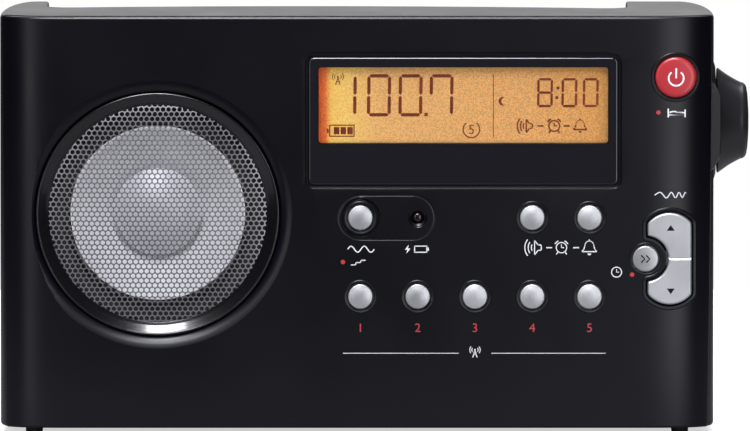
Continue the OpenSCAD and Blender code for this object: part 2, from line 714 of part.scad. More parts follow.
module cabinet_screws() color([0.3, 0.3, 0.32]) for (b = cabinet_bosses) {
    difference() {
        union() {
            deep(b[0], b[1], screw_tip) cylinder(r = screw_r, h = body_d - head_sink - screw_tip + 0.5);
            deep(b[0], b[1], body_d - head_sink) cylinder(r = screw_head_r, h = 1.8);
        }
        for (a = [0, 90]) translate([b[0], 0, b[1]]) rotate([0, a, 0]) translate([-b[0], 0, -b[1]])
            block(b[0] - 1.5, b[0] + 1.5, body_d - head_sink + 0.8, body_d, b[1] - 0.35, b[1] + 0.35);
    }
}

// ---- display ---------------------------------------------------------------------

module display_window() color([0.12, 0.13, 0.16, 0.6]) {
    plate(0.5, pocket_deep) at(window_x, window_z) round_rect(lens_w, lens_h, 0.9);
    plate(0.2, 0.5) at(window_x, window_z) round_rect(lens_w - 0.6, lens_h - 0.6, 0.7);
}
module lcd_glass() color([0.9, 0.6, 0.3]) plate(lcd_deep, lcd_deep + lcd_t) at(window_x, lcd_z)
    round_rect(lcd_w + 2 * lcd_border, lcd_h + 2 * lcd_border, 0.4);
module light_guide() color([0.95, 0.9, 0.8]) plate(guide_deep, guide_deep + guide_t)
    at(window_x + led_bay / 2, lcd_z) square([lcd_w + 2 * lcd_border - led_bay, lcd_h + 2 * lcd_border], center = true);
module backlight_leds() color([1, 0.6, 0.2]) for (s = [-1, 1])
    block(window_x - lcd_w / 2 - lcd_border + 0.3, window_x - lcd_w / 2 - lcd_border + led_bay - 0.2,
        guide_deep + 0.4, board_deep, lcd_z + s * lcd_h / 4 - 1.6, lcd_z + s * lcd_h / 4 + 1.6);
module lcd_holder() color([0.9, 0.9, 0.88]) difference() {
    plate(lcd_deep, board_deep) at(window_x, lcd_z) square([holder_w, holder_h], center = true);
    plate(lcd_deep - cut, board_deep + cut) at(window_x, lcd_z)
        square([lcd_w + 2 * lcd_border + 0.4, lcd_h + 2 * lcd_border + 0.4], center = true);
}

// ---- speaker ---------------------------------------------------------------------

module ring(d0, d1, r_out, r_in) deep(speaker_x, speaker_z, d0) difference() {
    cylinder(r = r_out, h = d1 - d0);
    translate([0, 0, -cut]) cylinder(r = r_in, h = d1 - d0 + 2 * cut);
}
// Tapered shell of revolution between two depths.
module funnel(d0, d1, r0, r1, t) deep(speaker_x, speaker_z, d0) rotate_extrude()
    polygon([[r0 - t, 0], [r0, 0], [r1, d1 - d0], [r1 - t, d1 - d0]]);

module speaker_bezel() color([0.03, 0.03, 0.03]) deep(speaker_x, speaker_z, 1.1) rotate_extrude()
    polygon([[bezel_d / 2 - 1, 0], [bezel_d / 2, 0], [bezel_d / 2, grille_deep - 1.1], [grille_d / 2, grille_deep - 1.1],
        [grille_d / 2, grille_deep - 1.6]]);
module speaker_grille() color([0.55, 0.55, 0.56]) deep(speaker_x, speaker_z, grille_deep)
    cylinder(d = bezel_d - 0.4, h = grille_t);
module speaker_gasket() color([0.15, 0.15, 0.15]) ring(gasket_deep, flange_deep, speaker_d / 2, speaker_d / 2 - 3.2);
module speaker_basket() color([0.6, 0.6, 0.62]) difference() {
    union() {
        ring(flange_deep, flange_deep + flange_th, speaker_d / 2, speaker_d / 2 - basket_lip);
        for (a = [45, 135, 225, 315]) deep(speaker_x + speaker_boss * cos(a), speaker_z + speaker_boss * sin(a), flange_deep)
            cylinder(r = 3, h = flange_th);
        for (a = [45, 135, 225, 315]) deep(speaker_x, speaker_z, flange_deep) rotate([0, 0, a])
            translate([speaker_d / 2 - 2, -3, 0]) cube([speaker_boss - speaker_d / 2 + 2, 6, flange_th]);
        funnel(flange_deep, flange_deep + can_h, speaker_d / 2 - 1, speaker_d / 2 - 1.5, 1);
        funnel(flange_deep + can_h, neck_deep, speaker_d / 2 - 1.5, magnet_d / 2 - 2, 1);
        ring(neck_deep - 1, neck_deep, magnet_d / 2 - 2, coil_d / 2 + coil_gap + 0.3);
    }
    for (a = [45, 135, 225, 315]) deep(speaker_x + speaker_boss * cos(a), speaker_z + speaker_boss * sin(a), flange_deep - cut)
        cylinder(r = board_screw_r + 0.15, h = 5);
    // windows between the spokes
    for (a = [0, 90, 180, 270]) deep(speaker_x, speaker_z, flange_deep + can_h + 1) rotate([0, 0, a])
        translate([magnet_d / 2 + 1, -8, 0]) cube([20, 16, neck_deep - flange_deep - can_h - 3]);
}
module speaker_magnet() color([0.12, 0.12, 0.13])
    ring(neck_deep + top_plate_t, neck_deep + top_plate_t + magnet_t, magnet_d / 2, coil_d / 2 + 3);
module speaker_yoke() color([0.65, 0.62, 0.5]) {
    ring(neck_deep, neck_deep + top_plate_t, magnet_d / 2 - 1, coil_d / 2 + coil_gap);
    deep(speaker_x, speaker_z, neck_deep + top_plate_t + magnet_t) cylinder(d = magnet_d - 2, h = 2.5);
    deep(speaker_x, speaker_z, neck_deep) cylinder(r = coil_d / 2 - coil_gap - 0.4, h = top_plate_t + magnet_t + 0.1);
}
module speaker_cone() color([0.85, 0.85, 0.86])
    funnel(cone_rim_deep, cone_neck_deep, cone_rim_r, coil_d / 2 + 0.6, 1);
module dust_cap() color([0.8, 0.8, 0.82]) deep(speaker_x, speaker_z, cap_deep) rotate_extrude()
    polygon(concat([for (i = [0:8]) cap_point(cap_ball_r, i / 8)], [for (i = [8:-1:0]) cap_point(cap_ball_r - cone_t, i / 8)]));
function cap_point(r, t) = let (a = t * asin(cap_r / cap_ball_r)) [r * sin(a), cap_ball_r - r * cos(a)];
module voice_coil() color([0.75, 0.45, 0.2]) ring(cone_neck_deep, neck_deep + 3.2, coil_d / 2, coil_d / 2 - 0.4);
module speaker_surround() color([0.1, 0.1, 0.1]) deep(speaker_x, speaker_z, flange_deep + flange_th) rotate_extrude()
    translate([cone_rim_r + roll_r + 0.4, touch]) intersection() {
        difference() {
            circle(r = roll_r);
            circle(r = roll_r - 0.5);
        }
        translate([-roll_r, 0]) square([2 * roll_r, roll_r]);
    }
module speaker_spider() color([0.7, 0.6, 0.4]) ring(spider_deep, spider_deep + 0.4, spider_r, coil_d / 2 + run);
module speaker_screws() color([0.7, 0.7, 0.7]) for (a = [45, 135, 225, 315]) {
    deep(speaker_x + speaker_boss * cos(a), speaker_z + speaker_boss * sin(a), panel + 0.5)
        cylinder(r = board_screw_r, h = flange_deep + flange_th - panel);
    deep(speaker_x + speaker_boss * cos(a), speaker_z + speaker_boss * sin(a), flange_deep + flange_th)
        cylinder(r = 2, h = 1.2);
}

// ---- keys ------------------------------------------------------------------------

// A key whose flange lies behind the panel, wherever the panel's curve puts it.
module key(x, z, d) {
    face = front_deep(x) - key_proud;
    back = panel + touch + flange_t + front_deep(min(x + d / 2 + flange_out, key_flange_end));
    deep(x, z, face) cylinder(d1 = d - 2 * key_bevel, d2 = d, h = key_bevel);
    deep(x, z, face + key_bevel) cylinder(d = d, h = back - face - key_bevel);
    intersection() {
        deep(x, z, back - flange_t) cylinder(d = d + 2 * flange_out, h = flange_t);
        block(-half_w, key_flange_end, 0, body_d, base_z, top_z);
    }
    deep(x, z, back) cylinder(r = stem_r, h = stem_end - back);
}
module power_button() color([0.78, 0.16, 0.18]) key(power_x, power_z, power_d);
module band_button() color([0.75, 0.75, 0.76]) key(key_x[0], upper_z, key_d);
module alarm_button_1() color([0.75, 0.75, 0.76]) key(key_x[3], upper_z, key_d);
module alarm_button_2() color([0.75, 0.75, 0.76]) key(key_x[4], upper_z, key_d);
module preset_button_1() color([0.75, 0.75, 0.76]) key(key_x[0], preset_z, key_d);
module preset_button_2() color([0.75, 0.75, 0.76]) key(key_x[1], preset_z, key_d);
module preset_button_3() color([0.75, 0.75, 0.76]) key(key_x[2], preset_z, key_d);
module preset_button_4() color([0.75, 0.75, 0.76]) key(key_x[3], preset_z, key_d);
module preset_button_5() color([0.75, 0.75, 0.76]) key(key_x[4], preset_z, key_d);
module scan_button() color([0.8, 0.8, 0.81]) key(scan_x, rocker_z, scan_d);

module tuning_rocker() color([0.75, 0.75, 0.76]) {
    difference() {
        union() {
            plate(rocker_in - key_proud, rocker_back) difference() {
                rocker_outline(0);
                at(scan_x, rocker_z) circle(scan_hollow_r);
            }
        }
        block(rocker_x - rocker_w, rocker_x + rocker_w, -key_proud - cut, rocker_in - key_proud + 0.35,
            rocker_z - 0.3, rocker_z + 0.3);
    }
    block(lug_x0, lug_x1, rocker_back - 0.1, axle_deep + 1.6, rocker_z - 2, rocker_z + 2);
    along_x(lug_x0 - ear_gap - ear_t, front_y + axle_deep, rocker_z)
        cylinder(r = axle_r, h = lug_x1 - lug_x0 + 2 * ear_gap + 2 * ear_t);
    for (s = [-1, 1]) deep(rocker_stem_x, rocker_z + s * rocker_stem_z, rocker_back - 0.1)
        cylinder(r = stem_r, h = stem_end - rocker_back + 0.1);
}

module charge_led() color([0.2, 0.05, 0.05]) {
    deep(led_x, upper_z, 1.1) cylinder(r1 = led_r - 0.6, r2 = led_r, h = 0.7);
    deep(led_x, upper_z, 1.8) cylinder(r = led_r, h = board_deep - 1.8);
    deep(led_x, upper_z, board_deep - 1) cylinder(r = led_r + 0.4, h = 1);
}

// ---- control board ---------------------------------------------------------------

module control_board() color([0.1, 0.3, 0.15]) difference() {
    block(board_x0, board_x1, board_deep, board_deep + board_t, board_z0, board_z1);
    for (b = board_bosses) deep(b[0], b[1], board_deep - cut) cylinder(r = board_screw_r + 0.2, h = 5);
    for (b = cabinet_bosses) deep(b[0], b[1], board_deep - cut) cylinder(r = boss_r + 0.4, h = 5);
}
module control_screws() color([0.75, 0.75, 0.75]) for (b = board_bosses) {
    deep(b[0], b[1], panel + 1.5) cylinder(r = board_screw_r, h = board_deep + board_t - panel - 1.5);
    deep(b[0], b[1], board_deep + board_t) cylinder(r = 1.9, h = 1.3);
}
module tact(x, z) difference() {
    block(x - switch_w / 2, x + switch_w / 2, switch_front, board_deep, z - switch_w / 2, z + switch_w / 2);
    deep(x, z, switch_front - cut) cylinder(r = stem_r + 0.25, h = cut + switch_pocket);
}
module tact_switches() color([0.15, 0.15, 0.15]) {
    for (x = key_x) tact(x, preset_z);
    for (i = [0, 3, 4]) tact(key_x[i], upper_z);
    tact(power_x, power_z);
    tact(scan_x, rocker_z);
    for (s = [-1, 1]) tact(rocker_stem_x, rocker_z + s * rocker_stem_z);
}

// ---- volume control --------------------------------------------------------------

module volume_knob() color([0.08, 0.08, 0.09]) difference() {
    along_x(knob_x0, knob_y, knob_z) rotate_extrude() polygon(knob_profile());
    along_x(knob_x0 - cut, knob_y, knob_z) cylinder(r = hollow_r, h = hollow_l + cut);
    along_x(knob_x0, knob_y, knob_z) cylinder(r = shaft_r + 0.01, h = shaft_end - knob_x0 + 0.1);
}
function knob_profile() = concat([[0, 0], [knob_d / 2, 0], [knob_d / 2, 0.5]],
    [for (i = [0:6]) let (a = 15 * i) [knob_tip_d / 2 - knob_tip_round * (1 - cos(a)), knob_l - knob_tip_round * (1 - sin(a))]],
    [[0, knob_l]]);
module volume_shaft() color([0.7, 0.7, 0.72]) along_x(seat_x - pot_t + 1.5, knob_y, knob_z)
    cylinder(r = shaft_r, h = shaft_end - seat_x + pot_t - 1.5);
module volume_control() color([0.55, 0.55, 0.5]) difference() {
    union() {
        along_x(seat_x - pot_t, knob_y, knob_z) cylinder(d = pot_d, h = pot_t);
        along_x(seat_x - 0.5, knob_y, knob_z) cylinder(r = bush_r, h = half_w + knob_boss_h + nut_t + 0.4 - seat_x + 0.5);
        translate([seat_x - pot_t, knob_y - pot_d / 2 + 2, knob_z - pot_d / 2 - 3]) cube([2, pot_d - 4, 6]);
    }
    along_x(seat_x - pot_t + 1.2, knob_y, knob_z) cylinder(r = shaft_r + run, h = 40);
}
module volume_nut() color([0.75, 0.75, 0.76]) difference() {
    along_x(half_w + knob_boss_h, knob_y, knob_z) cylinder(r = nut_r, h = nut_t, $fn = 6);
    along_x(half_w + knob_boss_h - cut, knob_y, knob_z) cylinder(r = bush_r + 0.02, h = nut_t + 2 * cut);
}

// ---- main board ------------------------------------------------------------------

module main_board() color([0.1, 0.3, 0.15]) difference() {
    block(main_x - main_w / 2, main_x + main_w / 2, main_deep, main_deep + board_t, main_z0, main_z0 + main_h);
    for (p = main_posts) deep(p[0], p[1], main_deep - cut) cylinder(r = board_screw_r + 0.2, h = 5);
}
module main_screws() color([0.75, 0.75, 0.75]) for (p = main_posts) {
    deep(p[0], p[1], main_deep - 1.3) cylinder(r = 1.9, h = 1.3);
    deep(p[0], p[1], main_deep) cylinder(r = board_screw_r, h = board_t + 6);
}
module tuner_shield() color([0.8, 0.8, 0.8])
    block(main_x - 34, main_x - 10, main_deep - 5, main_deep, main_z0 + 10, main_z0 + 30);
module board_chips() color([0.1, 0.1, 0.1]) {
    block(main_x + 2, main_x + 16, main_deep - 1.8, main_deep, main_z0 + 14, main_z0 + 28);
    block(main_x + 22, main_x + 32, main_deep - 2.2, main_deep, main_z0 + 10, main_z0 + 16);
    block(main_x - 4, main_x + 1, main_deep - 1.6, main_deep, main_z0 + 30, main_z0 + 34);
}
module capacitors() color([0.1, 0.15, 0.3]) for (p = [[22, 24], [30, 30], [12, 34], [4, 6]])
    deep(main_x + p[0], main_z0 + p[1], main_deep - 9) cylinder(r = 3.2, h = 9);

// ---- jacks -----------------------------------------------------------------------

module jack(i, bore_r) difference() {
    union() {
        block(jack_seat_x, jack_back_x, jack_deep - jack_body / 2, jack_deep + jack_body / 2,
            jack_z[i] - jack_body / 2, jack_z[i] + jack_body / 2);
        along_x(jack_floor_x, jack_y, jack_z[i]) cylinder(r = jack_noses[i], h = 3);
    }
    along_x(jack_floor_x - cut, jack_y, jack_z[i]) cylinder(r = bore_r, h = jack_bore_l + cut);
}
module power_inlet() color([0.1, 0.1, 0.1]) {
    jack(0, inlet_bore_r);
    along_x(jack_floor_x + 1, jack_y, jack_z[0]) cylinder(r = inlet_pin_r, h = jack_bore_l - 0.5);
}
module aux_jack() color([0.2, 0.2, 0.2]) jack(1, jack_bore_r);
module phones_jack() color([0.12, 0.12, 0.12]) jack(2, jack_bore_r);
module jack_board() color([0.1, 0.3, 0.15])
    block(jack_back_x, jack_back_x + board_t, jack_deep - 8, jack_deep + 8, jack_z[0] - 9, jack_z[2] + 9);

// ---- ferrite aerial --------------------------------------------------------------

module ferrite_rod() color([0.2, 0.2, 0.2])
    along_x(window_x - ferrite_l / 2, front_y + rod_deep, rod_z) cylinder(d = ferrite_d, h = ferrite_l);
module ferrite_coil() color([0.7, 0.4, 0.15]) along_x(window_x - 9, front_y + rod_deep, rod_z) difference() {
    cylinder(d = ferrite_d + 1.6, h = 18);
    translate([0, 0, -cut]) cylinder(d = ferrite_d + 0.05, h = 30);
}

// ---- batteries -------------------------------------------------------------------

module cell_row(z) for (i = [0, 1]) {
    x0 = -bay_w / 2 + spring_l + i * cell_l;
    along_x(x0, front_y + cell_deep, z) cylinder(d = cell_d, h = cell_l - 1.1);
    along_x(x0 + cell_l - 1.2, front_y + cell_deep, z) cylinder(r = 2.7, h = 1.1);
}
module battery_cells() color([0.3, 0.3, 0.32]) {
    cell_row(cell_z[0]);
    mirror([1, 0, 0]) cell_row(cell_z[1]);
}
module contact_row(z) {
    for (x = [-bay_w / 2, bay_w / 2 - 0.4]) block(x, x + 0.4, cell_deep - 5, cell_deep + 5, z - 5, z + 5);
    for (i = [0:2]) along_x(-bay_w / 2 + 0.4 + i * 0.9, front_y + cell_deep, z)
        cylinder(r1 = 4.6 - i * 0.9, r2 = 3.8 - i * 0.9, h = 0.95);
}
module battery_contacts() color([0.8, 0.8, 0.8]) {
    contact_row(cell_z[0]);
    mirror([1, 0, 0]) contact_row(cell_z[1]);
}

// ---- telescopic aerial -----------------------------------------------------------

module antenna_swivel() color([0.75, 0.75, 0.76]) {
    translate([aerial_x, aerial_y, recess_z - spindle_l]) cylinder(r = spindle_r, h = spindle_l + touch + 0.1);
    difference() {
        translate([aerial_x, aerial_y, recess_z + touch]) cylinder(r = fork_r, h = aerial_z + fork_open - 0.2 - recess_z - touch);
        translate([aerial_x - 2 * fork_r, aerial_y - fork_slot / 2, aerial_z - fork_open])
            cube([4 * fork_r, fork_slot, 2 * fork_r]);
    }
    translate([aerial_x, aerial_y - fork_pin_l / 2, aerial_z]) rotate([-90, 0, 0])
        cylinder(r = hinge_pin_r, h = fork_pin_l);
}
function tube_r(i) = aerial_r - i * aerial_drop;
function tube_x0(i) = aerial_x + tongue_l + i * tube_stick;
module tube(i) along_x(tube_x0(i), aerial_y, aerial_z) difference() {
    cylinder(r = tube_r(i), h = aerial_l);
    translate([0, 0, i == 0 ? 3 * tube_t : -cut]) cylinder(r = tube_r(i) - tube_t, h = aerial_l + 2 * cut);
}
module antenna_tube_1() color([0.8, 0.8, 0.82]) {
    tube(0);
    difference() {
        union() {
            translate([aerial_x, aerial_y - tongue_t / 2, aerial_z]) rotate([-90, 0, 0])
                cylinder(r = tongue_r, h = tongue_t);
            translate([aerial_x, aerial_y - tongue_t / 2, aerial_z - tongue_h / 2])
                cube([tongue_l + 0.5, tongue_t, tongue_h]);
        }
        translate([aerial_x, aerial_y - tongue_t, aerial_z]) rotate([-90, 0, 0])
            cylinder(r = hinge_pin_r + run, h = 2 * tongue_t);
    }
}
module antenna_tube_2() color([0.8, 0.8, 0.82]) tube(1);
module antenna_tube_3() color([0.8, 0.8, 0.82]) tube(2);
module antenna_rod() color([0.8, 0.8, 0.82]) {
    along_x(tube_x0(3) + 1, aerial_y, aerial_z) cylinder(r = tube_r(3), h = aerial_l);
    along_x(tube_x0(3) + aerial_l + 0.5, aerial_y, aerial_z) cylinder(r = aerial_r, h = tip_l);
}

front_cabinet();
rear_cabinet();
battery_door();
feet();
cabinet_screws();
display_window();
lcd_glass();
lcd_holder();
light_guide();
backlight_leds();
speaker_bezel();
speaker_grille();
speaker_gasket();
speaker_basket();
speaker_magnet();
speaker_yoke();
speaker_cone();
dust_cap();
voice_coil();
speaker_surround();
speaker_spider();
speaker_screws();
control_board();
tact_switches();
control_screws();
power_button();
band_button();
alarm_button_1();
alarm_button_2();
preset_button_1();
preset_button_2();
preset_button_3();
preset_button_4();
preset_button_5();
scan_button();
tuning_rocker();
charge_led();
volume_knob();
volume_shaft();
volume_control();
volume_nut();
main_board();
main_screws();
tuner_shield();
board_chips();
capacitors();
jack_board();
power_inlet();
aux_jack();
phones_jack();
ferrite_rod();
ferrite_coil();
battery_cells();
battery_contacts();
antenna_swivel();
antenna_tube_1();
antenna_tube_2();
antenna_tube_3();
antenna_rod();
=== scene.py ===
import math
import bpy
import bmesh
import numpy as np
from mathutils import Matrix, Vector


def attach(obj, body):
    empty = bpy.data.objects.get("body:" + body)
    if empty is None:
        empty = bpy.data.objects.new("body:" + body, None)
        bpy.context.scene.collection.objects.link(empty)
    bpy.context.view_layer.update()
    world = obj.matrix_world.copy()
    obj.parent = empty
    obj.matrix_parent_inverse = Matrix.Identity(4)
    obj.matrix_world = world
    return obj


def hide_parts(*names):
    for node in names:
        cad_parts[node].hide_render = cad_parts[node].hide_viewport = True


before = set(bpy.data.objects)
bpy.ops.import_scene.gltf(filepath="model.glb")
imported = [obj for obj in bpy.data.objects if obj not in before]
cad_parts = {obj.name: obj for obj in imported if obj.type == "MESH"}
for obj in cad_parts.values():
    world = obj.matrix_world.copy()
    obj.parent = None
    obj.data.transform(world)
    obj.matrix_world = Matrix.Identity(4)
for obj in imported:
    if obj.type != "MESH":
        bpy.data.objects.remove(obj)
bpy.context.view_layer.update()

# ---- Front half of the cabinet ---------------------------------------------------------
# The front half is one moulding in black ABS: a flat panel that curves back at both ends.
# It is moulded 2.5 mm thick, with a fine satin texture, and is held by four screws from
# behind; its rims and holes have small moulded radii.
half_w, front_y, base_z, top_z = 93.0, -27.5, 1.8, 109.3
corner_x, corner_y, panel_t = 20.0, 11.0, 2.5
flat_x = half_w - corner_x
seam_base, seam_lean = 4.3, 2.2


def front_deep(x):
    """Depth of the front face: 11 (1 - (1 - u^3)^(1/3)), where u runs over the last 20 mm."""
    u = np.clip((np.abs(x) - flat_x) / corner_x, 0.0, 1.0)
    return corner_y * (1 - np.cbrt(1 - u ** 3))


def seam_deep(z):
    """Depth of the side seam: it leans from 4.3 mm at the base to 6.5 mm at the top."""
    return seam_base + seam_lean * (z - base_z) / (top_z - base_z)


def points(*parts):
    """Points from arrays of their coordinates."""
    return np.stack(np.broadcast_arrays(*parts), -1)


def quads(rows, cols, wrap=False, loop=False, start=0):
    """Faces between neighbours of a rows by cols grid; wrap and loop join its far sides."""
    r = np.arange(rows if loop else rows - 1)[:, None]
    c = np.arange(cols if wrap else cols - 1)[None, :]
    r2, c2 = (r + 1) % rows, (c + 1) % cols
    corners = points(r * cols + c, r * cols + c2, r2 * cols + c2, r2 * cols + c)
    return start + corners.reshape(-1, 4)


def new_object(name, data):
    """An object that holds the data, in the scene."""
    obj = bpy.data.objects.new(name, data)
    bpy.context.scene.collection.objects.link(obj)
    return obj


def solid(name, corners, faces):
    """A mesh object from corners in millimetres: doubles merged, faces turned outwards."""
    mesh = bpy.data.meshes.new(name)
    corners = np.asarray(corners, float).reshape(-1, 3) * 0.001
    groups = [g.tolist() if isinstance(g, np.ndarray) else g for g in faces]
    mesh.from_pydata(corners.tolist(), [], [f for g in groups for f in g])
    bm = bmesh.new()
    bm.from_mesh(mesh)
    bmesh.ops.remove_doubles(bm, verts=bm.verts, dist=3e-7)
    bmesh.ops.recalc_face_normals(bm, faces=bm.faces)
    bm.to_mesh(mesh)
    bm.free()
    return new_object(name, mesh)


def loft(name, loops):
    """A closed form through a stack of loops with equal numbers of points."""
    m, n = loops.shape[:2]
    ends = [list(range(n)), list(range((m - 1) * n, m * n))]
    return solid(name, loops, [quads(m, n, wrap=True), ends])


def as_mesh(obj):
    """What the object's curve or modifiers make of it, as a plain mesh."""
    seen = obj.evaluated_get(bpy.context.evaluated_depsgraph_get())
    return bpy.data.meshes.new_from_object(seen)


def settle(obj):
    """Turns what the form's modifiers make into its own mesh."""
    mesh = as_mesh(obj)
    obj.modifiers.clear()
    obj.data = mesh


def carve(obj, cutters, operation="DIFFERENCE"):
    """Takes each cutter from the form in turn, and keeps the result as plain mesh."""
    for cutter in cutters:
        mod = obj.modifiers.new("carve", "BOOLEAN")
        mod.operation, mod.solver, mod.object = operation, "MANIFOLD", cutter
        settle(obj)
        bpy.data.objects.remove(cutter)
    return obj


def smooth(obj, angle=32.0, weighted=True):
    """Smooth shading, with edges sharper than the angle kept and big flats kept flat."""
    obj.data.shade_smooth()
    obj.data.set_sharp_from_angle(angle=math.radians(angle))
    if weighted:
        mod = obj.modifiers.new("flats", "WEIGHTED_NORMAL")
        mod.keep_sharp, mod.weight = True, 80
        settle(obj)
    return obj


def srgb(r, g, b):
    """A colour from the 0 to 255 numbers that a screen shows."""
    c = np.array([r, g, b]) / 255.0
    return tuple(np.where(c <= 0.04045, c / 12.92, ((c + 0.055) / 1.055) ** 2.4)) + (1.0,)


def give(shader_node, inputs):
    """Sets a node's inputs, by name or number."""
    for key, value in inputs.items():
        shader_node.inputs[key].default_value = value


def node(tree, kind, inputs=None, **values):
    """Adds a shader node and sets its inputs and properties."""
    made = tree.nodes.new("ShaderNode" + kind)
    for key, value in values.items():
        setattr(made, key, value)
    give(made, inputs or {})
    return made


def span(tree, low, high, to_low=0.0, to_high=1.0, curve="LINEAR"):
    """A node that maps one range of values to another."""
    ends = {"From Min": low, "From Max": high, "To Min": to_low, "To Max": to_high}
    return node(tree, "MapRange", ends, interpolation_type=curve)


def join(tree, *links):
    """Links nodes; each link is (node, output, node, input)."""
    for source, output, target, into in links:
        tree.links.new(source.outputs[output], target.inputs[into])


def grain_group():
    """Moulded or cast texture: fine noise for height, and a slow cloud for tone and gloss."""
    tree = bpy.data.node_groups.new("surface grain", "ShaderNodeTree")
    sockets = [("Vector", "INPUT", "Vector"), ("Grains per m", "INPUT", "Float"),
               ("Clouds per m", "INPUT", "Float"), ("Height", "OUTPUT", "Float"),
               ("Cloud", "OUTPUT", "Float")]
    for name, way, kind in sockets:
        tree.interface.new_socket(name, in_out=way, socket_type="NodeSocket" + kind)
    inside, outside = tree.nodes.new("NodeGroupInput"), tree.nodes.new("NodeGroupOutput")
    fine = node(tree, "TexNoise", {"Detail": 2.0})
    slow = node(tree, "TexNoise", {"Detail": 4.0})
    both = node(tree, "Math", {1: 0.35}, operation="MULTIPLY_ADD")
    join(tree, (inside, "Vector", fine, "Vector"), (inside, "Vector", slow, "Vector"),
         (inside, "Grains per m", fine, "Scale"), (inside, "Clouds per m", slow, "Scale"),
         (fine, "Fac", both, 0), (slow, "Fac", both, 2),
         (fine, "Fac", outside, "Height"), (both, 0, outside, "Cloud"))
    return tree


surface_grain = grain_group()


def new_material(name):
    """A new material with its tree and its main shader."""
    mat = bpy.data.materials.new(name)
    mat.use_nodes = True
    return mat, mat.node_tree, mat.node_tree.nodes["Principled BSDF"]


def finish(name, colour, rough, metal=0.0, grains=2500.0, depth=0.02, spread=0.06, tone=0.12,
           stretch=(1, 1, 1), coat=0.0, specular=0.5):
    """A finish whose tone, gloss and height all follow the grain; depth is in millimetres."""
    mat, tree, shader = new_material(name)
    place = node(tree, "TexCoord")
    turn = node(tree, "Mapping", {"Scale": stretch})
    grain = node(tree, "Group", node_tree=surface_grain)
    give(grain, {"Grains per m": grains, "Clouds per m": 60.0})
    middle = np.array(srgb(*colour)[:3])
    low, high = middle * (1 - tone), np.minimum(middle * (1 + tone), 1.0)
    tint = node(tree, "Mix", data_type="RGBA")
    give(tint, {6: (*low, 1.0), 7: (*high, 1.0)})
    gloss = span(tree, 0.45, 0.9, max(rough - spread, 0.02), min(rough + spread, 1.0))
    bump = node(tree, "Bump", {"Distance": depth * 0.001})
    join(tree, (place, "Object", turn, "Vector"), (turn, "Vector", grain, "Vector"),
         (grain, "Cloud", tint, 0), (grain, "Cloud", gloss, "Value"),
         (grain, "Height", bump, "Height"), (tint, 2, shader, "Base Color"),
         (gloss, 0, shader, "Roughness"), (bump, "Normal", shader, "Normal"))
    give(shader, {"Metallic": metal, "Coat Weight": coat, "Coat Roughness": 0.08,
                  "Specular IOR Level": specular})
    return mat


def dress(obj, material, body, slot, *nodes):
    """Gives a piece its finish and body, and hides the solids that it stands for; slot is not
    used.
    """
    obj.data.materials.clear()
    obj.data.materials.append(material)
    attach(obj, body)
    if nodes:
        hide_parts(*nodes)
    return obj


panel_black = finish("front panel black", (3, 3, 10), 0.32, grains=3800, depth=0.0012,
                     spread=0.02, tone=0.06, specular=0.36)
front_top = top_z - 0.12
edge_h, rabbet = 0.54, 1.3


def corner_curve(t):
    """Points and outward directions of the front corner: u^3 + v^3 = 1, u = sin(t)^(2/3)."""
    u, v = np.sin(t) ** (2 / 3), np.cos(t) ** (2 / 3)
    p = points(flat_x + corner_x * u, corner_y * (1 - v))
    n = points(u ** 2 / corner_x, -v ** 2 / corner_y)
    return p, n / np.linalg.norm(n, axis=-1, keepdims=True)


def corner_angle(depth):
    """The angle on the corner curve that lies at a depth."""
    return np.arccos(np.clip(1 - depth / corner_y, 0, 1) ** 1.5)


def panel_loop(z, inset, thin):
    """The panel's outline at one height: along the face, round the seam and back behind."""
    seam = seam_deep(z)
    p, n = corner_curve(corner_angle(seam) * np.linspace(0, 1, 31) ** 1.5)
    end, along = p[-1], np.array([-n[-1][1], n[-1][0]])
    s = np.linspace(0, 1, 6)[:, None]
    before, after = end - 0.3 * along, end - [0.3, 0]
    turn = (1 - s) ** 2 * before + 2 * s * (1 - s) * end + s ** 2 * after
    outer = np.vstack([p[:-1], turn]) - inset * np.vstack([n[:-1], (1 - s) * n[-1]])
    q, _ = corner_curve(corner_angle(seam - panel_t) * np.linspace(1, 0, 21) ** 1.5)
    right = np.vstack([outer, q + [0, panel_t - thin]])
    flat = np.linspace(-flat_x, flat_x, 26)[1:-1, None]
    face = np.hstack([flat, 0 * flat + inset])
    rear = np.hstack([-flat, 0 * flat + panel_t - thin])
    loop = np.vstack([face, right, rear, right[::-1] * [-1, 1]])
    return np.hstack([loop[:, :1], loop[:, 1:] + front_y, np.full((len(loop), 1), z)])


drop = np.array([0.0, 0.01, 0.04, 0.08, 0.42, 0.48, edge_h])
inset = np.array([0.56, 0.42, 0.31, 0.26, 0.037, 0.01, 0.0])
levels = np.linspace(base_z, front_top, 13)[1:-1]
heights = np.concatenate([base_z + drop, levels, front_top - drop[::-1]])
insets = np.concatenate([inset, np.zeros(11), inset[::-1]])
thins = rabbet * np.clip(1 - (front_top - heights) / edge_h, 0, 1)
loops = [panel_loop(z, e, t) for z, e, t in zip(heights, insets, thins)]
front = loft("front_panel", np.array(loops))


def circle(x, z, r, n=96):
    """A ring of points in the plane of the front, counter-clockwise from the right."""
    a = np.linspace(0, 2 * np.pi, n, endpoint=False)
    return points(x + r * np.cos(a), z + r * np.sin(a))


def rounded(x, z, w, h, r, n=10):
    """A rectangle with rounded corners, counter-clockwise."""
    a = np.linspace(0, np.pi / 2, n)
    arc = r * points(np.cos(a), np.sin(a))
    parts = []
    for i, side in enumerate([(1, 1), (-1, 1), (-1, -1), (1, -1)]):
        c, s = math.cos(i * math.pi / 2), math.sin(i * math.pi / 2)
        corner = np.array(side) * [w / 2 - r, h / 2 - r]
        parts.append(arc @ np.array([[c, s], [-s, c]]) + corner)
    return np.vstack(parts) + [x, z]


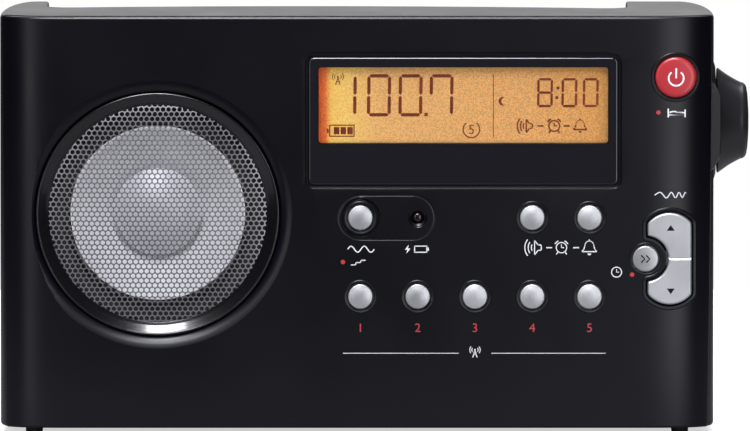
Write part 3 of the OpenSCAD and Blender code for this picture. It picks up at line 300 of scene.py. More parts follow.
def grown(loop, amount):
    """The loop moved outwards along its own normals."""
    t = np.roll(loop, -1, 0) - np.roll(loop, 1, 0)
    n = points(t[:, 1], -t[:, 0])
    return loop + amount * n / np.linalg.norm(n, axis=1, keepdims=True)


def set_back(loop, steps, curved=True):
    """The loop grown and set back by each (growth, depth), behind the curved or flat face."""
    rings = []
    for amount, depth in steps:
        p = grown(loop, amount)
        face = front_deep(p[:, 0]) if curved else 0
        rings.append(points(p[:, 0], front_y + face + depth, p[:, 1]))
    return np.array(rings)


def sunk(name, loop, steps, curved=True):
    """A closed form whose walls follow steps of (growth, depth) behind the front face."""
    return loft(name, set_back(loop, steps, curved))


def hoop(name, loop, steps):
    """A closed ring that follows a loop; steps of (growth, depth) give its section."""
    rings = set_back(loop, steps)
    return solid(name, rings, [quads(len(steps), len(loop), wrap=True, loop=True)])


def bead(name, loop, wide, high):
    """A raised rim rooted in the panel: a slope of 22 degrees to a crest, and a short fall."""
    return hoop(name, loop, [(0, 1.2), (0, 0.06), (0.03, 0.02), (0.56 * wide, -high),
                             (0.63 * wide, -1.05 * high), (0.7 * wide, -high),
                             (0.93 * wide, -0.03), (wide, 0.05), (wide, 1.2)])


def lathe(name, profile, n, place):
    """A turned form: place puts (radius, along, cosine, sine) where the axis lies."""
    p = np.asarray(profile, float)
    a = np.linspace(0, 2 * np.pi, n, endpoint=False)
    rings = points(*place(p[:, :1], p[:, 1:], np.cos(a), np.sin(a)))
    closed = p[0, 0] < 1e-6 and p[-1, 0] < 1e-6
    return solid(name, rings, [quads(len(p), n, wrap=True, loop=not closed)])


def turned(name, x, z, profile, n=128):
    """A lathe form about the front-to-back line through x, z; profile is (radius, depth)."""
    return lathe(name, profile, n, lambda r, d, c, s: (x + r * c, front_y + d, z + r * s))


speaker_x, speaker_z = -51.9, 57.6
window_x, window_z, window_w, window_h, shelf = 27.7, 82.0, 82.5, 35.2, 0.8
lcd_z, lcd_w, lcd_h = 86.1, 75.7, 20.1
pocket_w, pocket_h = window_w - 2 * shelf, window_h - 2 * shelf
key_x, upper_z, preset_z = 0.9 + 14.92 * np.arange(5), 56.8, 36.2
power_x, power_z = 82.94, 93.46
rocker_x, rocker_z, scan_x = 81.4, 46.1, 75.15
rocker_w, rocker_h, rocker_rise, rocker_bite = 5.7, 12.0, 2.74, 5.96
key_hole, power_hole, scan_hole, rocker_gap = 3.58, 5.7, 3.72, 0.55


def rocker_outline(grow, n=26):
    """A tall bar with arched ends, cut by the round hollow of the scan key on its left."""
    w, hollow = rocker_w + grow, rocker_bite - grow
    big = (2 * rocker_w) ** 2 / (8 * rocker_rise) + rocker_rise / 2
    z0 = rocker_h - big
    a = np.arcsin(w / (big + grow))
    top = np.linspace(a, -a, n)
    arch = points((big + grow) * np.sin(top), z0 + (big + grow) * np.cos(top))
    c = scan_x - rocker_x
    b = np.arccos((-w - c) / hollow)
    bite = np.linspace(b, -b, n)
    hole = points(c + hollow * np.cos(bite), hollow * np.sin(bite))
    return np.vstack([arch, hole, -arch]) + [rocker_x, rocker_z]


def softened(loop, times):
    """Corners eased by cutting each one back in turn."""
    for _ in range(times):
        ahead, behind = np.roll(loop, -1, 0), np.roll(loop, 1, 0)
        loop = 0.5 * loop + 0.25 * (ahead + behind)
    return loop


def even(loop, n):
    """The loop with its points spread evenly along its length."""
    closed = np.vstack([loop, loop[:1]])
    lengths = np.linalg.norm(np.diff(closed, axis=0), axis=1)
    run = np.concatenate([[0], np.cumsum(lengths)])
    at = np.linspace(0, run[-1], n, endpoint=False)
    return points(*[np.interp(at, run, closed[:, k]) for k in (0, 1)])


dish_line = [(0, -3), (35.3, -3), (35.2, -0.02), (34.95, 0.03), (34.6, 0.1), (33.9, 0.28),
             (33.2, 0.56), (32.6, 0.92), (32.15, 1.34), (31.85, 1.9), (31.75, 5), (0, 5)]
window_steps = [(0.14, -1), (0.12, -0.01), (0.02, 0.05), (-0.42, 0.5), (-0.7, 0.53)]
pill_steps = [(0, -1), (0, -0.01), (0.36, 0.15), (0.46, 0.17), (0.56, 0.15), (0.92, -0.01),
              (0.92, -1)]
lamp_line = [(0, -1), (2.62, -1), (2.56, 0), (2.4, 0.1), (2.25, 0.8), (1.72, 1.14),
             (1.68, 1.3), (1.65, 5), (0, 5)]
groove_line = [(4.45, -1), (4.55, 0.3), (4.62, 0.62), (4.85, 0.72), (5.08, 0.62),
               (5.15, 0.3), (5.25, -1)]
cutters = [
    turned("dish", speaker_x, speaker_z, dish_line, 192),
    sunk("window step", rounded(window_x, window_z, window_w, window_h, 2.2), window_steps),
    sunk("window pocket", rounded(window_x, window_z, pocket_w, pocket_h, 1.6),
         [(0, -1), (0, 1.7)]),
    sunk("display hole", rounded(window_x, lcd_z, lcd_w, lcd_h, 0.9), [(0, -1), (-0.3, 4)]),
    hoop("pill groove", rounded(7.75, upper_z, 24.0, 10.6, 5.29, 20), pill_steps),
]
key_places = [(x, preset_z) for x in key_x] + [(key_x[i], upper_z) for i in (0, 3, 4)]
for x, z in key_places:
    cutters.append(sunk("key hole", circle(x, z, key_hole), [(0, -2), (0, 5)]))
rocker_rim = even(softened(even(rocker_outline(rocker_gap), 260), 4), 260)
cutters += [
    sunk("power hole", circle(power_x, power_z, power_hole), [(0, -2), (0, 6)]),
    sunk("scan hole", circle(scan_x, rocker_z, scan_hole), [(0, -2), (0, 6)]),
    sunk("rocker hole", rocker_rim, [(0, -2), (0, 6)]),
    turned("lamp dish", key_x[1], upper_z, lamp_line, 64),
    turned("ring groove", key_x[0], upper_z, groove_line),
]
carve(front, cutters)
beads = [bead("key bead", circle(x, z, key_hole - 0.01), 0.86, 0.19) for x, z in key_places]
beads += [bead("power bead", circle(power_x, power_z, power_hole - 0.03), 0.9, 0.2),
          bead("scan bead", circle(scan_x, rocker_z, scan_hole - 0.03, 120), 0.6, 0.14),
          bead("rocker bead", rocker_rim, 0.95, 0.21)]
carve(front, beads, "UNION")
smooth(front)
dress(front, panel_black, "cabinet", "cabinet_black", "front_cabinet")

# ---- Rear half of the cabinet ----------------------------------------------------------
# The rear half is a deep ABS shell, 2.2 mm thick, with a slightly coarser matt texture.
# A grip recess and the aerial's channel are moulded into its top, a battery bay into its
# back, and a guard and a low boss for the volume knob into its right side.
case_black = finish("rear case black", (14, 14, 18), 0.36, grains=2600, depth=0.003,
                    spread=0.03, tone=0.08)
body_d, wall, seam_gap, back_x = 55.0, 2.2, 0.3, 84.0


def plan(inset, n=26):
    """Plan outline: squared front corners and long elliptic back ones, drawn in by an inset."""
    t = np.linspace(0, 1, n) ** 1.5 * np.pi / 2
    u, v = np.sin(t) ** (2 / 3), np.cos(t) ** (2 / 3)
    fore = points(flat_x + (corner_x - inset) * u, corner_y - (corner_y - inset) * v)
    a = np.linspace(0, np.pi / 2, n)[1:]
    wide, deep = half_w - back_x - inset, body_d - corner_y - inset
    aft = points(back_x + wide * np.cos(a), corner_y + deep * np.sin(a))
    right = np.vstack([fore, aft])
    return np.vstack([right, right[::-1] * [-1, 1]])


def upright(name, plans, levels):
    """A closed form through plan outlines (x, depth) at given heights."""
    rings = [points(p[:, 0], front_y + p[:, 1], z) for p, z in zip(plans, levels)]
    return loft(name, np.array(rings))


def block(x0, x1, d0, d1, z0, z1):
    """A plain box between depths, used only as a cutter or a filler."""
    loop = np.array([[x0, d0], [x1, d0], [x1, d1], [x0, d1]])
    return upright("block", [loop, loop], [z0, z1])


def quarter(x, y, rx, ry, n):
    """Points on a quarter of an ellipse about x, y: from its side at rx to its end at ry."""
    t = np.linspace(0, np.pi / 2, n)
    return list(zip(x + rx * np.cos(t), y + ry * np.sin(t)))


rims = quarter(1, base_z + 1, -1, -1, 8)[::-1] + quarter(1, top_z - 1, -1, 1, 8)
rear = upright("rear_case", [plan(e) for e, _ in rims], [z for _, z in rims])


def ahead_of_seam(z):
    """Everything in front of the panel's back and of the leaning seam, with the gap."""
    seam = seam_deep(z) + seam_gap
    bend = corner_angle(seam - panel_t - seam_gap) * np.linspace(0, 1, 22) ** 1.5
    q, _ = corner_curve(bend)
    right = np.vstack([q + [0, panel_t + seam_gap], [[112, seam], [112, -8]]])
    return np.vstack([right, right[::-1] * [-1, 1]])


heights = np.linspace(-6, 118, 9)
front_zone = [upright("front zone", [ahead_of_seam(z) for z in heights], heights)]

recess_x0, recess_x1, recess_z, recess_r = -81.0, 70.6, 95.3, 7.0
recess_front, recess_bow, recess_mid = 31.0, 7.0, -13.2
aerial_x, aerial_z, aerial_deep = -72.0, 100.6, body_d - 7.0


def recess_plan(grow):
    """Plan of the grip recess: its front edge is an arc, its front corners are rounded by 7."""
    r = recess_r + grow
    turn = np.linspace(0, np.pi / 2, 12)
    middle = np.linspace(recess_x0 + recess_r, recess_x1 - recess_r, 30)[1:-1]
    x = np.concatenate([recess_x0 - grow + r * (1 - np.cos(turn)), middle,
                        recess_x1 + grow - r * (1 - np.sin(turn))])
    e = np.minimum(x - recess_x0 + grow, recess_x1 + grow - x)
    bow = recess_bow - 4 * recess_bow * (x - recess_mid) ** 2 / (recess_x1 - recess_x0) ** 2
    bend = np.where(e < r, r - np.sqrt(np.maximum(0, r * r - (r - e) ** 2)), 0)
    back = [[recess_x1 + grow, body_d + 5], [recess_x0 - grow, body_d + 5]]
    return np.vstack([points(x, recess_front + bow - grow + bend), back])


def recess_cut(grow, lip, fillet):
    """The recess with a rounded lip at the top and a fillet round its floor."""
    steps = quarter(-fillet, recess_z - grow + fillet, fillet, -fillet, 6)[::-1]
    steps += quarter(lip, top_z - lip, -lip, lip, 6) + [(lip, top_z + 2)]
    return upright("recess", [recess_plan(grow + g) for g, _ in steps], [z for _, z in steps])


bay_x, bay_deep, bay_z0, bay_z1, bay_wall = 54.5, 37.8, 7.2, 36.8, 1.6
channel_deep, channel_top, channel_end = 43.0, 105.5, 98.0
door_w, door_h, door_z, door_gap = 111.0, 31.6, 22.0, 0.2
knob_z, bush_r = 80.1, 4.15
jack_y, jack_z, jack_pitch = 4.5, 31.8, 15.0
cavity = upright("cavity", [plan(wall), plan(wall)], [base_z + wall, top_z - wall])
carve(cavity, [recess_cut(wall, 0.01, 0.01),
               block(-channel_end, channel_end, channel_deep - wall, 60, recess_z - wall,
                     channel_top + wall),
               block(-bay_x - bay_wall, bay_x + bay_wall, bay_deep - bay_wall, 60,
                     bay_z0 - bay_wall, bay_z1 + bay_wall),
               block(-98, -87.6, 24.5, 39.5, 23.8, 69.8)])


def sideways(name, y, z, profile, side=1.0, n=96):
    """A lathe form about a line that runs out of the cabinet's side; profile is (radius, x)."""
    return lathe(name, profile, n, lambda r, x, c, s: (side * x, y + r * c, z + r * s))


boss_line = [(0, 90), (17.6, 90), (16.2, 93.0), (14.35, 93.62), (14.1, 93.7), (0, 93.7)]
boss = sideways("boss", 0, knob_z, boss_line)
guard_rise, guard_half, guard_back = 1.9, 7.8, 27.5


def guard_loop(z):
    """Section of the guard at one height: it rises 1.9 mm from the side on sloping flanks."""
    rise = guard_rise - max(0, abs(z - knob_z) - guard_half) / guard_rise
    rise = max(-1.0, min(guard_rise, rise))
    start = seam_deep(z) + seam_gap
    side = plan(-rise, 40)
    side = side[(side[:, 0] > 80) & (side[:, 1] > start) & (side[:, 1] < guard_back)]
    d = np.linspace(start, guard_back, 24)
    out = points(np.interp(d, side[:, 1], side[:, 0]), d)
    return np.vstack([out, [[88, guard_back], [88, d[0]]]])


flank = np.linspace(-13, -guard_half, 9)
z_guard = knob_z + np.concatenate([flank, np.linspace(-7, 7, 9), -flank[::-1]])
guard = upright("guard", [guard_loop(z) for z in z_guard], z_guard)
clear_line = [(0, 93.7), (14.2, 93.7), (14.2, 99), (0, 99)]
carve(guard, [sideways("clear", 0, knob_z, clear_line)])
carve(rear, [guard, boss], "UNION")
seat_x, seat_h = door_w / 2 + door_gap, door_h / 2 + door_gap
holes = [cavity, recess_cut(0.0, 0.8, 1.2),
         block(-channel_end, channel_end, channel_deep, 60, recess_z, channel_top),
         block(-bay_x, bay_x, bay_deep, 60, bay_z0, bay_z1),
         block(-seat_x, seat_x, 52.8, 60, door_z - seat_h, door_z + seat_h),
         sideways("bush", 0, knob_z, [(0, 80), (bush_r, 80), (bush_r, 96), (0, 96)])]
for i, nose in enumerate((4.2, 3.4, 3.4)):
    fit = nose + 0.15
    jack_dish = [(0, 80), (fit, 80), (fit, 89.6), (5.0, 89.6), (5.2, 89.9), (5.2, 92.2),
                 (5.6, 92.9), (5.9, 94), (0, 94)]
    holes.append(sideways("dish", jack_y, jack_z + jack_pitch * i, jack_dish, -1.0))
screw_line = [(0, 20), (1.7, 20), (1.7, 51), (3.0, 51), (3.0, 54.7), (3.35, 55.1), (3.6, 56),
              (0, 56)]
for x, z in [(-84, 90.6), (-83, 11.0), (83, 11.0), (74.15, 74.0)]:
    holes.append(turned("screw hole", x, z, screw_line, 48))
socket = circle(aerial_x, aerial_deep, 3.05, 48)
holes.append(upright("socket", [socket, socket], [recess_z - 5.2, recess_z + 1]))


def capsule(x, d, w, l, n=14):
    """A slot shape lying front to back: two half circles joined by straight sides."""
    a = np.linspace(0, np.pi, n)
    end = w / 2 * points(np.cos(a), np.sin(a)) + [0, (l - w) / 2]
    return np.vstack([end, -end]) + [x, d]


foot_w, foot_l = 4.4, 9.0
foot_places = [(s * 84.2, d) for s in (-1, 1) for d in (9.5, 45.5)]
for x, d in foot_places:
    pocket = capsule(x, d, foot_w + 0.2, foot_l + 0.2)
    holes.append(upright("foot pocket", [pocket, pocket], [base_z - 1, base_z + 0.6]))
carve(rear, front_zone + holes)
smooth(rear)
dress(rear, case_black, "cabinet", "cabinet_black", "rear_cabinet")

# ---- Feet, cabinet screws and battery door ---------------------------------------------
# Four soft rubber feet are glued into shallow pockets. The screws are black self-tapping
# ones with cross slots. The door is ABS like the case, and clips in with two lower pegs.
rubber = finish("foot rubber", (30, 30, 30), 0.75, grains=1500, depth=0.03, tone=0.15)
screw_black = finish("blackened screw", (52, 50, 50), 0.38, metal=1.0, grains=3000,
                     depth=0.004)
foot_top, foot_edge, door_edge = 2.4, 0.5, 0.4
steps = quarter(-foot_edge, foot_edge, foot_edge, -foot_edge, 6)[::-1] + [(0, foot_top)]
for i, (x, d) in enumerate(foot_places):
    rings = [capsule(x, d, foot_w + 2 * g, foot_l + 2 * g) for g, _ in steps]
    foot = upright(f"foot_{i + 1}", rings, [z for _, z in steps])
    dress(smooth(foot, 40), rubber, "cabinet", "rubber_black", "feet")


def refinish(name, material):
    """Puts a finish on a solid that keeps its own shape."""
    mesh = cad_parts[name].data
    mesh.materials.clear()
    mesh.materials.append(material)


refinish("cabinet_screws", screw_black)
steps = [(0, 53.0)] + quarter(-door_edge, body_d - door_edge, door_edge, door_edge, 5)
door = sunk("battery_door_cover", rounded(0, door_z, door_w, door_h, 0.6), steps, False)
for i in range(4):
    groove = rounded(0, 34.2 - 1.6 * i, 18 - 2 * i, 0.8, 0.38)
    floor_d = 54.1 + 0.2 * i
    steps = [(-0.1, floor_d), (0, floor_d + 0.3), (0.12, body_d), (0.3, body_d + 0.4)]
    carve(door, [sunk("grip", groove, steps, False)])
pegs = [block(s * 37 - 3, s * 37 + 3, 51.0, 53.1, 7.4, 8.6) for s in (-1, 1)]
carve(door, pegs, "UNION")
dress(smooth(door), case_black, "door", "cabinet_black", "battery_door")

# ---- Loudspeaker -----------------------------------------------------------------------
# A 66 mm loudspeaker behind a domed grille of punched steel, painted dark, in a gloss ring.
# The ring is pressed into the panel's dished slope; the cone is silvered paper.
ring_black = finish("gloss ring black", (8, 8, 11), 0.23, grains=900, depth=0.0002,
                    spread=0.01, tone=0.05, coat=0.4)
grille_steel = finish("grille steel", (138, 136, 140), 0.36, metal=0.85, grains=5000,
                      depth=0.004)
cone_silver = finish("cone silver", (232, 232, 236), 0.45, grains=2200, depth=0.02, tone=0.06)
ring_slope, ring_r, ring_d = 0.64, 31.17, 1.05
ring_line = [(31.75, 3.2)] + quarter(31.35, 1.4, 0.4, -0.4, 8)
ring_line += [(31.25, 1.015), (ring_r, ring_d)]
for r in (30.75, 30.0, 29.25):
    d = ring_d + ring_slope * (ring_r - r)
    ring_line += [(r + 0.04, d - 0.025), (r + 0.02, d + 0.05), (r, d)]
ring_line += [(29.0, 2.44), (28.8, 2.66), (28.5, 2.9), (28.37, 3.0), (28.35, 3.2)]
ring = turned("speaker_ring", speaker_x, speaker_z, ring_line, 256)
dress(smooth(ring, 20, False), ring_black, "cabinet", "gloss_black", "speaker_bezel")
pitch_x, pitch_z, hole_r, reach, sheet, sides = 1.43, 1.24, 0.59, 29.4, 0.22, 12
rim_r, rim_deep, dome_h, hexagon = 29.0, 3.2, 2.1, 1.155


def grille():
    """A domed sheet of six-sided cells with round holes; depth 3.2 - 2.1 (1 - (r/29)^2)^0.7."""
    rows = np.arange(-25, 26)
    px, pz = np.meshgrid(np.arange(-22, 23) * pitch_x, rows * pitch_z)
    px = px + (rows % 2)[:, None] * pitch_x / 2
    c = points(px.ravel(), pz.ravel())
    c = c[np.hypot(c[:, 0], c[:, 1]) < reach]
    a = np.linspace(0, 2 * np.pi, sides, endpoint=False)
    inner = c[:, None] + hole_r * points(np.cos(a), np.sin(a))
    off_axis = np.abs(((a + np.pi / 6) % (np.pi / 3)) - np.pi / 6)
    around = points(np.cos(a), np.sin(a) * pitch_z / pitch_x * hexagon)
    outer = c[:, None] + (pitch_x / 2 / np.cos(off_axis))[:, None] * around
    layers = []
    for p, back in [(outer, 0.0), (inner, 0.0), (inner, sheet), (outer, sheet)]:
        r2 = np.minimum((p[..., 0] ** 2 + p[..., 1] ** 2) / rim_r ** 2, 1.0)
        depth = rim_deep - dome_h * (1 - r2) ** 0.7 + back
        layers.append(points(speaker_x + p[..., 0], front_y + depth, speaker_z + p[..., 1]))
    k, s = np.arange(len(c))[:, None] * 4 * sides, np.arange(sides)
    s2 = (s + 1) % sides
    faces = []
    for low in (0, sides, 2 * sides):
        high = low + sides
        cell = points(k + low + s, k + low + s2, k + high + s2, k + high + s)
        faces.append(cell.reshape(-1, 4))
    return solid("speaker_grille_dome", np.stack(layers, 1), faces)


dome = grille()
dress(smooth(dome, 50, False), grille_steel, "cabinet", "grille_steel", "speaker_grille")
cone_r, cap_r, cone_d, cone_rise, ribs = 22.0, 11.0, 6.1, 7.0, 11
cone_line = [(22.75, 5.9), (22.4, 5.86), (cone_r, cone_d)]
for k in range(1, ribs + 1):
    r = cone_r - (cone_r - cap_r) * k / ribs
    cone_line.append((r, cone_d + cone_rise * (k / ribs) ** 0.9 + 0.06 * (-1) ** k))
cone_line += [(7.6, 13.1), (7.6, 13.6), (11.5, 13.3), (22.5, 6.7), (22.75, 6.4)]
cone = turned("cone_shell", speaker_x, speaker_z, cone_line, 160)
dress(smooth(cone, 40, False), cone_silver, "cone", "cone_silver", "speaker_cone")

# ---- Display ---------------------------------------------------------------------------
# A reflective crystal display, lit amber from its left edge, lies behind an acrylic lens.
# The lens is glued into a pocket; its back is printed dark round the display's opening.
lens_glass, tree, shader = new_material("acrylic lens")
give(shader, {"Base Color": (0.93, 0.94, 0.96, 1), "IOR": 1.49, "Transmission Weight": 1.0})
place = node(tree, "TexCoord")
haze = node(tree, "TexNoise", {"Scale": 90.0})
blur = span(tree, 0.0, 1.0, 0.02, 0.06)
join(tree, (place, "Object", haze, "Vector"), (haze, "Fac", blur, "Value"),
     (blur, 0, shader, "Roughness"))
lens_print = finish("lens print", (23, 23, 28), 0.1, grains=1200, depth=0.001, spread=0.02,
                    tone=0.05, coat=0.5)
lens_loop = rounded(window_x, lcd_z, lcd_w - 0.2, lcd_h - 0.2, 0.8)
lens = sunk("display_lens", lens_loop, [(0, 1.6), (0, 0.24)])
dress(smooth(lens, 60), lens_glass, "cabinet", "window_clear", "display_window")
mask_steps = [(0, 1.6), (0, 0.6), (-0.04, 0.44), (-0.16, 0.3), (-0.34, 0.22), (-0.55, 0.2)]
mask_loop = rounded(window_x, window_z, pocket_w - 0.3, pocket_h - 0.3, 1.5)
mask = sunk("lens_print", mask_loop, mask_steps)
clear_steps = [(0.12, 0), (0.1, 0.2), (0, 0.3), (0, 2.5)]
carve(mask, [sunk("clear", rounded(window_x, lcd_z, lcd_w, lcd_h, 0.8), clear_steps)])
dress(smooth(mask, 40), lens_print, "cabinet", "window_clear", "display_window")

# The display's glow, in metres across the glass: brightest near its lamp on the left, with
# painted shade that darkens it by the frame at its top, right and lower edges, and a fine
# speckle.
lcd_left, lcd_right, lcd_top, lcd_low = -0.0101, 0.0656, 0.0962, 0.0762
lcd_amber, tree, shader = new_material("lit display amber")
place = node(tree, "TexCoord")
part = node(tree, "SeparateXYZ")
along = span(tree, lcd_left, lcd_right)
shade = node(tree, "ValToRGB")
stops = [(0.0, (206, 84, 44)), (0.025, (222, 112, 52)), (0.045, (246, 196, 100)),
         (0.09, (244, 200, 108)), (0.2, (230, 176, 108)), (0.7, (224, 166, 102)),
         (1.0, (218, 156, 86))]
while len(shade.color_ramp.elements) < len(stops):
    shade.color_ramp.elements.new(0.5)
for stop, (at, colour) in zip(shade.color_ramp.elements, stops):
    stop.position, stop.color = at, srgb(*colour)
grain = node(tree, "TexNoise", {"Scale": 2600.0, "Detail": 0.0})
speck = span(tree, 0.38, 0.62, 0.84, 1.1)
# Painted shade: the glow falls off towards the top, right and lower edges, where the frame
# overhangs the display.
from_top = span(tree, lcd_top, lcd_top - 0.0037, 0.72, curve="SMOOTHSTEP")
from_side = span(tree, lcd_right, lcd_right - 0.0041, 0.74, curve="SMOOTHSTEP")
from_low = span(tree, lcd_low, lcd_low + 0.001, 0.8)
painted_edge_shade = node(tree, "Math", operation="MULTIPLY")
frame_shade = node(tree, "Math", operation="MULTIPLY")
both = node(tree, "Math", operation="MULTIPLY")
glow = node(tree, "Mix", {0: 1.0}, data_type="RGBA", blend_type="MULTIPLY")
join(tree, (place, "Object", part, 0), (part, "X", along, "Value"), (along, 0, shade, "Fac"),
     (place, "Object", grain, "Vector"), (grain, "Fac", speck, "Value"),
     (part, "Z", from_low, "Value"), (part, "Z", from_top, "Value"),
     (part, "X", from_side, "Value"), (from_top, 0, painted_edge_shade, 0), (from_side, 0, painted_edge_shade, 1),
     (painted_edge_shade, 0, frame_shade, 0), (from_low, 0, frame_shade, 1), (speck, 0, both, 0),
     (frame_shade, 0, both, 1), (shade, "Color", glow, 6), (both, 0, glow, 7),
     (glow, 2, shader, "Emission Color"), (glow, 2, shader, "Base Color"))
give(shader, {"Emission Strength": 0.5, "Roughness": 0.5, "Specular IOR Level": 0.2})
refinish("lcd_glass", lcd_amber)


def tiles(name, shapes, d0, d1, curved=False):
    """Thin closed plates, one for each outline (x, z), between two depths behind the face."""
    corners, faces, k = [], [], 0
    for s in shapes:
        s = np.asarray(s, float)
        n = len(s)
        base = front_deep(s[:, 0]) if curved else 0
        for d in (d0, d1):
            corners.append(points(s[:, 0], front_y + base + d, s[:, 1]))
        faces.append(quads(2, n, wrap=True, start=k))
        faces.append([list(range(k, k + n)), list(range(k + n, k + 2 * n))])
        k += 2 * n
    return solid(name, np.vstack(corners), faces)


def stroke(path, w):
    """Outline of a line of width w along a path: the path moved half a width each way."""
    p = np.asarray(path, float)
    t = np.gradient(p, axis=0)
    n = points(t[:, 1], -t[:, 0])
    n = n / np.linalg.norm(n, axis=1, keepdims=True) * w / 2
    return np.vstack([p + n, (p - n)[::-1]])


def arc(x, z, r, a0, a1, n=18):
    """Points on a circle from one angle to another, in degrees."""
    a = np.radians(np.linspace(a0, a1, n))
    return points(x + r * np.cos(a), z + r * np.sin(a))


def bar(p, q, t):
    """One segment of a figure: a bar with pointed ends."""
    p, q = np.array(p, float), np.array(q, float)
    d = (q - p) / np.linalg.norm(q - p)
    n = np.array([-d[1], d[0]]) * t / 2
    s = d * t / 2
    return np.array([p, p + s + n, q - s + n, q, q - s - n, p + s - n])


def bars(path, w):
    """A bar along each leg of a path."""
    return [bar(p, q, w) for p, q in zip(path[:-1], path[1:])]


def figure(value, x, z, w, h, t, lean=0.015):
    """A seven-segment figure centred at x, z; its top leans slightly to the right."""
    lit = {0: "abcdef", 1: "bc", 7: "abcf", 8: "abcdefg"}[value]
    ends = {"a": ((-1, 1), (1, 1)), "b": ((1, 1), (1, 0)), "c": ((1, 0), (1, -1)),
            "d": ((-1, -1), (1, -1)), "e": ((-1, 0), (-1, -1)), "f": ((-1, 1), (-1, 0)),
            "g": ((-1, 0), (1, 0))}
    out = []
    for segment in lit:
        p, q = (np.array(v) * [(w - t) / 2, (h - t) / 2] for v in ends[segment])
        b = bar(p + (q - p) * 0.02, q - (q - p) * 0.02, t)
        b[:, 0] += lean * b[:, 1]
        out.append(b + [x, z])
    return out


def speaker_sign(x, z, s, w):
    """A loudspeaker in outline, s high, with three sound waves on its left."""
    horn = np.array([[0.3, -0.15], [0.12, -0.15], [-0.08, -0.42], [-0.08, 0.42], [0.12, 0.15],
                     [0.3, 0.15], [0.3, -0.15]]) * s
    waves = [stroke(arc(0.12 * s, 0, r * s, 180 - b, 180 + b, 9), w)
             for r, b in ((0.38, 28), (0.56, 34), (0.75, 38))]
    return [v + [x, z] for v in bars(horn, w) + waves]


def clock_sign(x, z, r, w, ears=True):
    """A clock face with hands, with two small ears and feet for an alarm clock."""
    out = [stroke(arc(x, z, r, 90, 271, 20), w), stroke(arc(x, z, r, -91, 91, 20), w),
           stroke([[x, z + 0.62 * r], [x, z]], w * 0.8),
           stroke([[x - w * 0.4, z], [x + 0.5 * r, z]], w * 0.8)]
    if ears:
        out += [stroke(arc(x, z, r * 1.42, a - 17, a + 17, 6), w * 1.1) for a in (48, 132)]
        out += [stroke([[x + s * 0.7 * r, z - 0.9 * r], [x + s * 1.02 * r, z - 1.3 * r]], w)
                for s in (-1, 1)]
    return out


def bell_sign(x, z, s, w):
    """A hand bell: a flared cup on a bar, with its clapper below."""
    a = np.linspace(np.pi, 0, 11)
    crown = points(0.3 * np.cos(a), 0.1 + 0.34 * np.sin(a))
    cup = np.vstack([[[-0.5, -0.26], [-0.36, -0.12]], crown, [[0.36, -0.12], [0.5, -0.26],
                     [-0.5, -0.26]]]) * s + [x, z]
    clapper = arc(x, z - 0.38 * s, 0.12 * s, 180, 360, 9)
    return bars(cup, w) + [clapper, stroke([[x, z + 0.42 * s], [x, z + 0.54 * s]], w)]


def mast_sign(x, z, s):
    """A transmitter mast with a wave on each side."""
    top = [x, z + 0.22 * s]
    out = [stroke([[x + k * 0.22 * s, z - 0.5 * s], top], 0.09 * s) for k in (-1, 1)]
    out += [stroke([[x - 0.14 * s, z - 0.2 * s], [x + 0.14 * s, z - 0.2 * s]], 0.08 * s),
            arc(x, z + 0.26 * s, 0.1 * s, 0, 330, 10)]
    for r in (0.32, 0.52):
        out += [stroke(arc(x, z + 0.26 * s, r * s, a - 38, a + 38, 8), 0.08 * s)
                for a in (0, 180)]
    return out


def battery_sign(x0, x1, z0, z1, w, over, tip):
    """A battery in outline: four bars of width w, and a tip (x, top, bottom, width)."""
    low, high, reach = z0 - over, z1 + over, w / 2
    out = [stroke([[x0, low], [x0, high]], w), stroke([[x1, high], [x1, low]], w)]
    out += [stroke([[x0 - reach, z], [x1 + reach, z]], w) for z in (z1, z0)]
    return out + [stroke([[tip[0], tip[1]], [tip[0], tip[2]]], tip[3])]


lcd_dark = finish("display segment", (158, 66, 34), 0.7, grains=2600, depth=0.001, tone=0.12)
big_z, big_w, big_h, big_t = 88.6, 6.2, 11.0, 0.85
small_z, small_w, small_h, small_t = 89.3, 4.1, 7.6, 0.62
row_z, row_w = 80.6, 0.38
signs = [s - [2.4, 0] for s in figure(1, -0.3, big_z, 5.2, big_h, big_t)]
for value, x in ((0, 5.75), (0, 13.95), (7, 22.0)):
    signs += figure(value, x, big_z, big_w, big_h, big_t)
signs.append(rounded(18.0, 83.6, 0.9, 0.9, 0.1, 3))
for value, x in ((8, 48.95), (0, 55.3), (0, 60.85)):
    signs += figure(value, x, small_z, small_w, small_h, small_t)
signs += [rounded(x, z, 0.75, 0.75, 0.1, 3) for x, z in ((52.3, 90.5), (52.05, 88.0))]
signs += mast_sign(-4.95, 92.7, 2.7)
signs += [stroke([[35.5, 94.1], [35.5, 77.6]], 0.2)]
signs += [stroke(arc(29.8, 79.7, 2.15, 128, 412, 30), 0.34)]
signs += battery_sign(-7.1, -0.75, 77.9, 80.8, 0.3, 0.1, (-7.6, 79.9, 78.8, 0.5))
signs += [rounded(-5.3 + 1.75 * i, 79.35, 1.45, 1.9, 0.1, 3) for i in range(3)]
moon = [arc(38.0, 87.05, 1.15, 62, 298, 16), arc(38.62, 87.05, 1.02, 277, 83, 12)]
signs += [np.vstack(moon)]
signs += speaker_sign(44.4, row_z, 4.2, row_w) + clock_sign(51.35, row_z, 1.4, row_w)
signs += bell_sign(58.1, row_z, 3.6, 0.4)
signs += [stroke([[x, row_z], [x + 1.6, row_z]], 0.4) for x in (47.0, 53.8)]
dress(tiles("display_segments", signs, 2.72, 2.79), lcd_dark, "cabinet", "part_black")

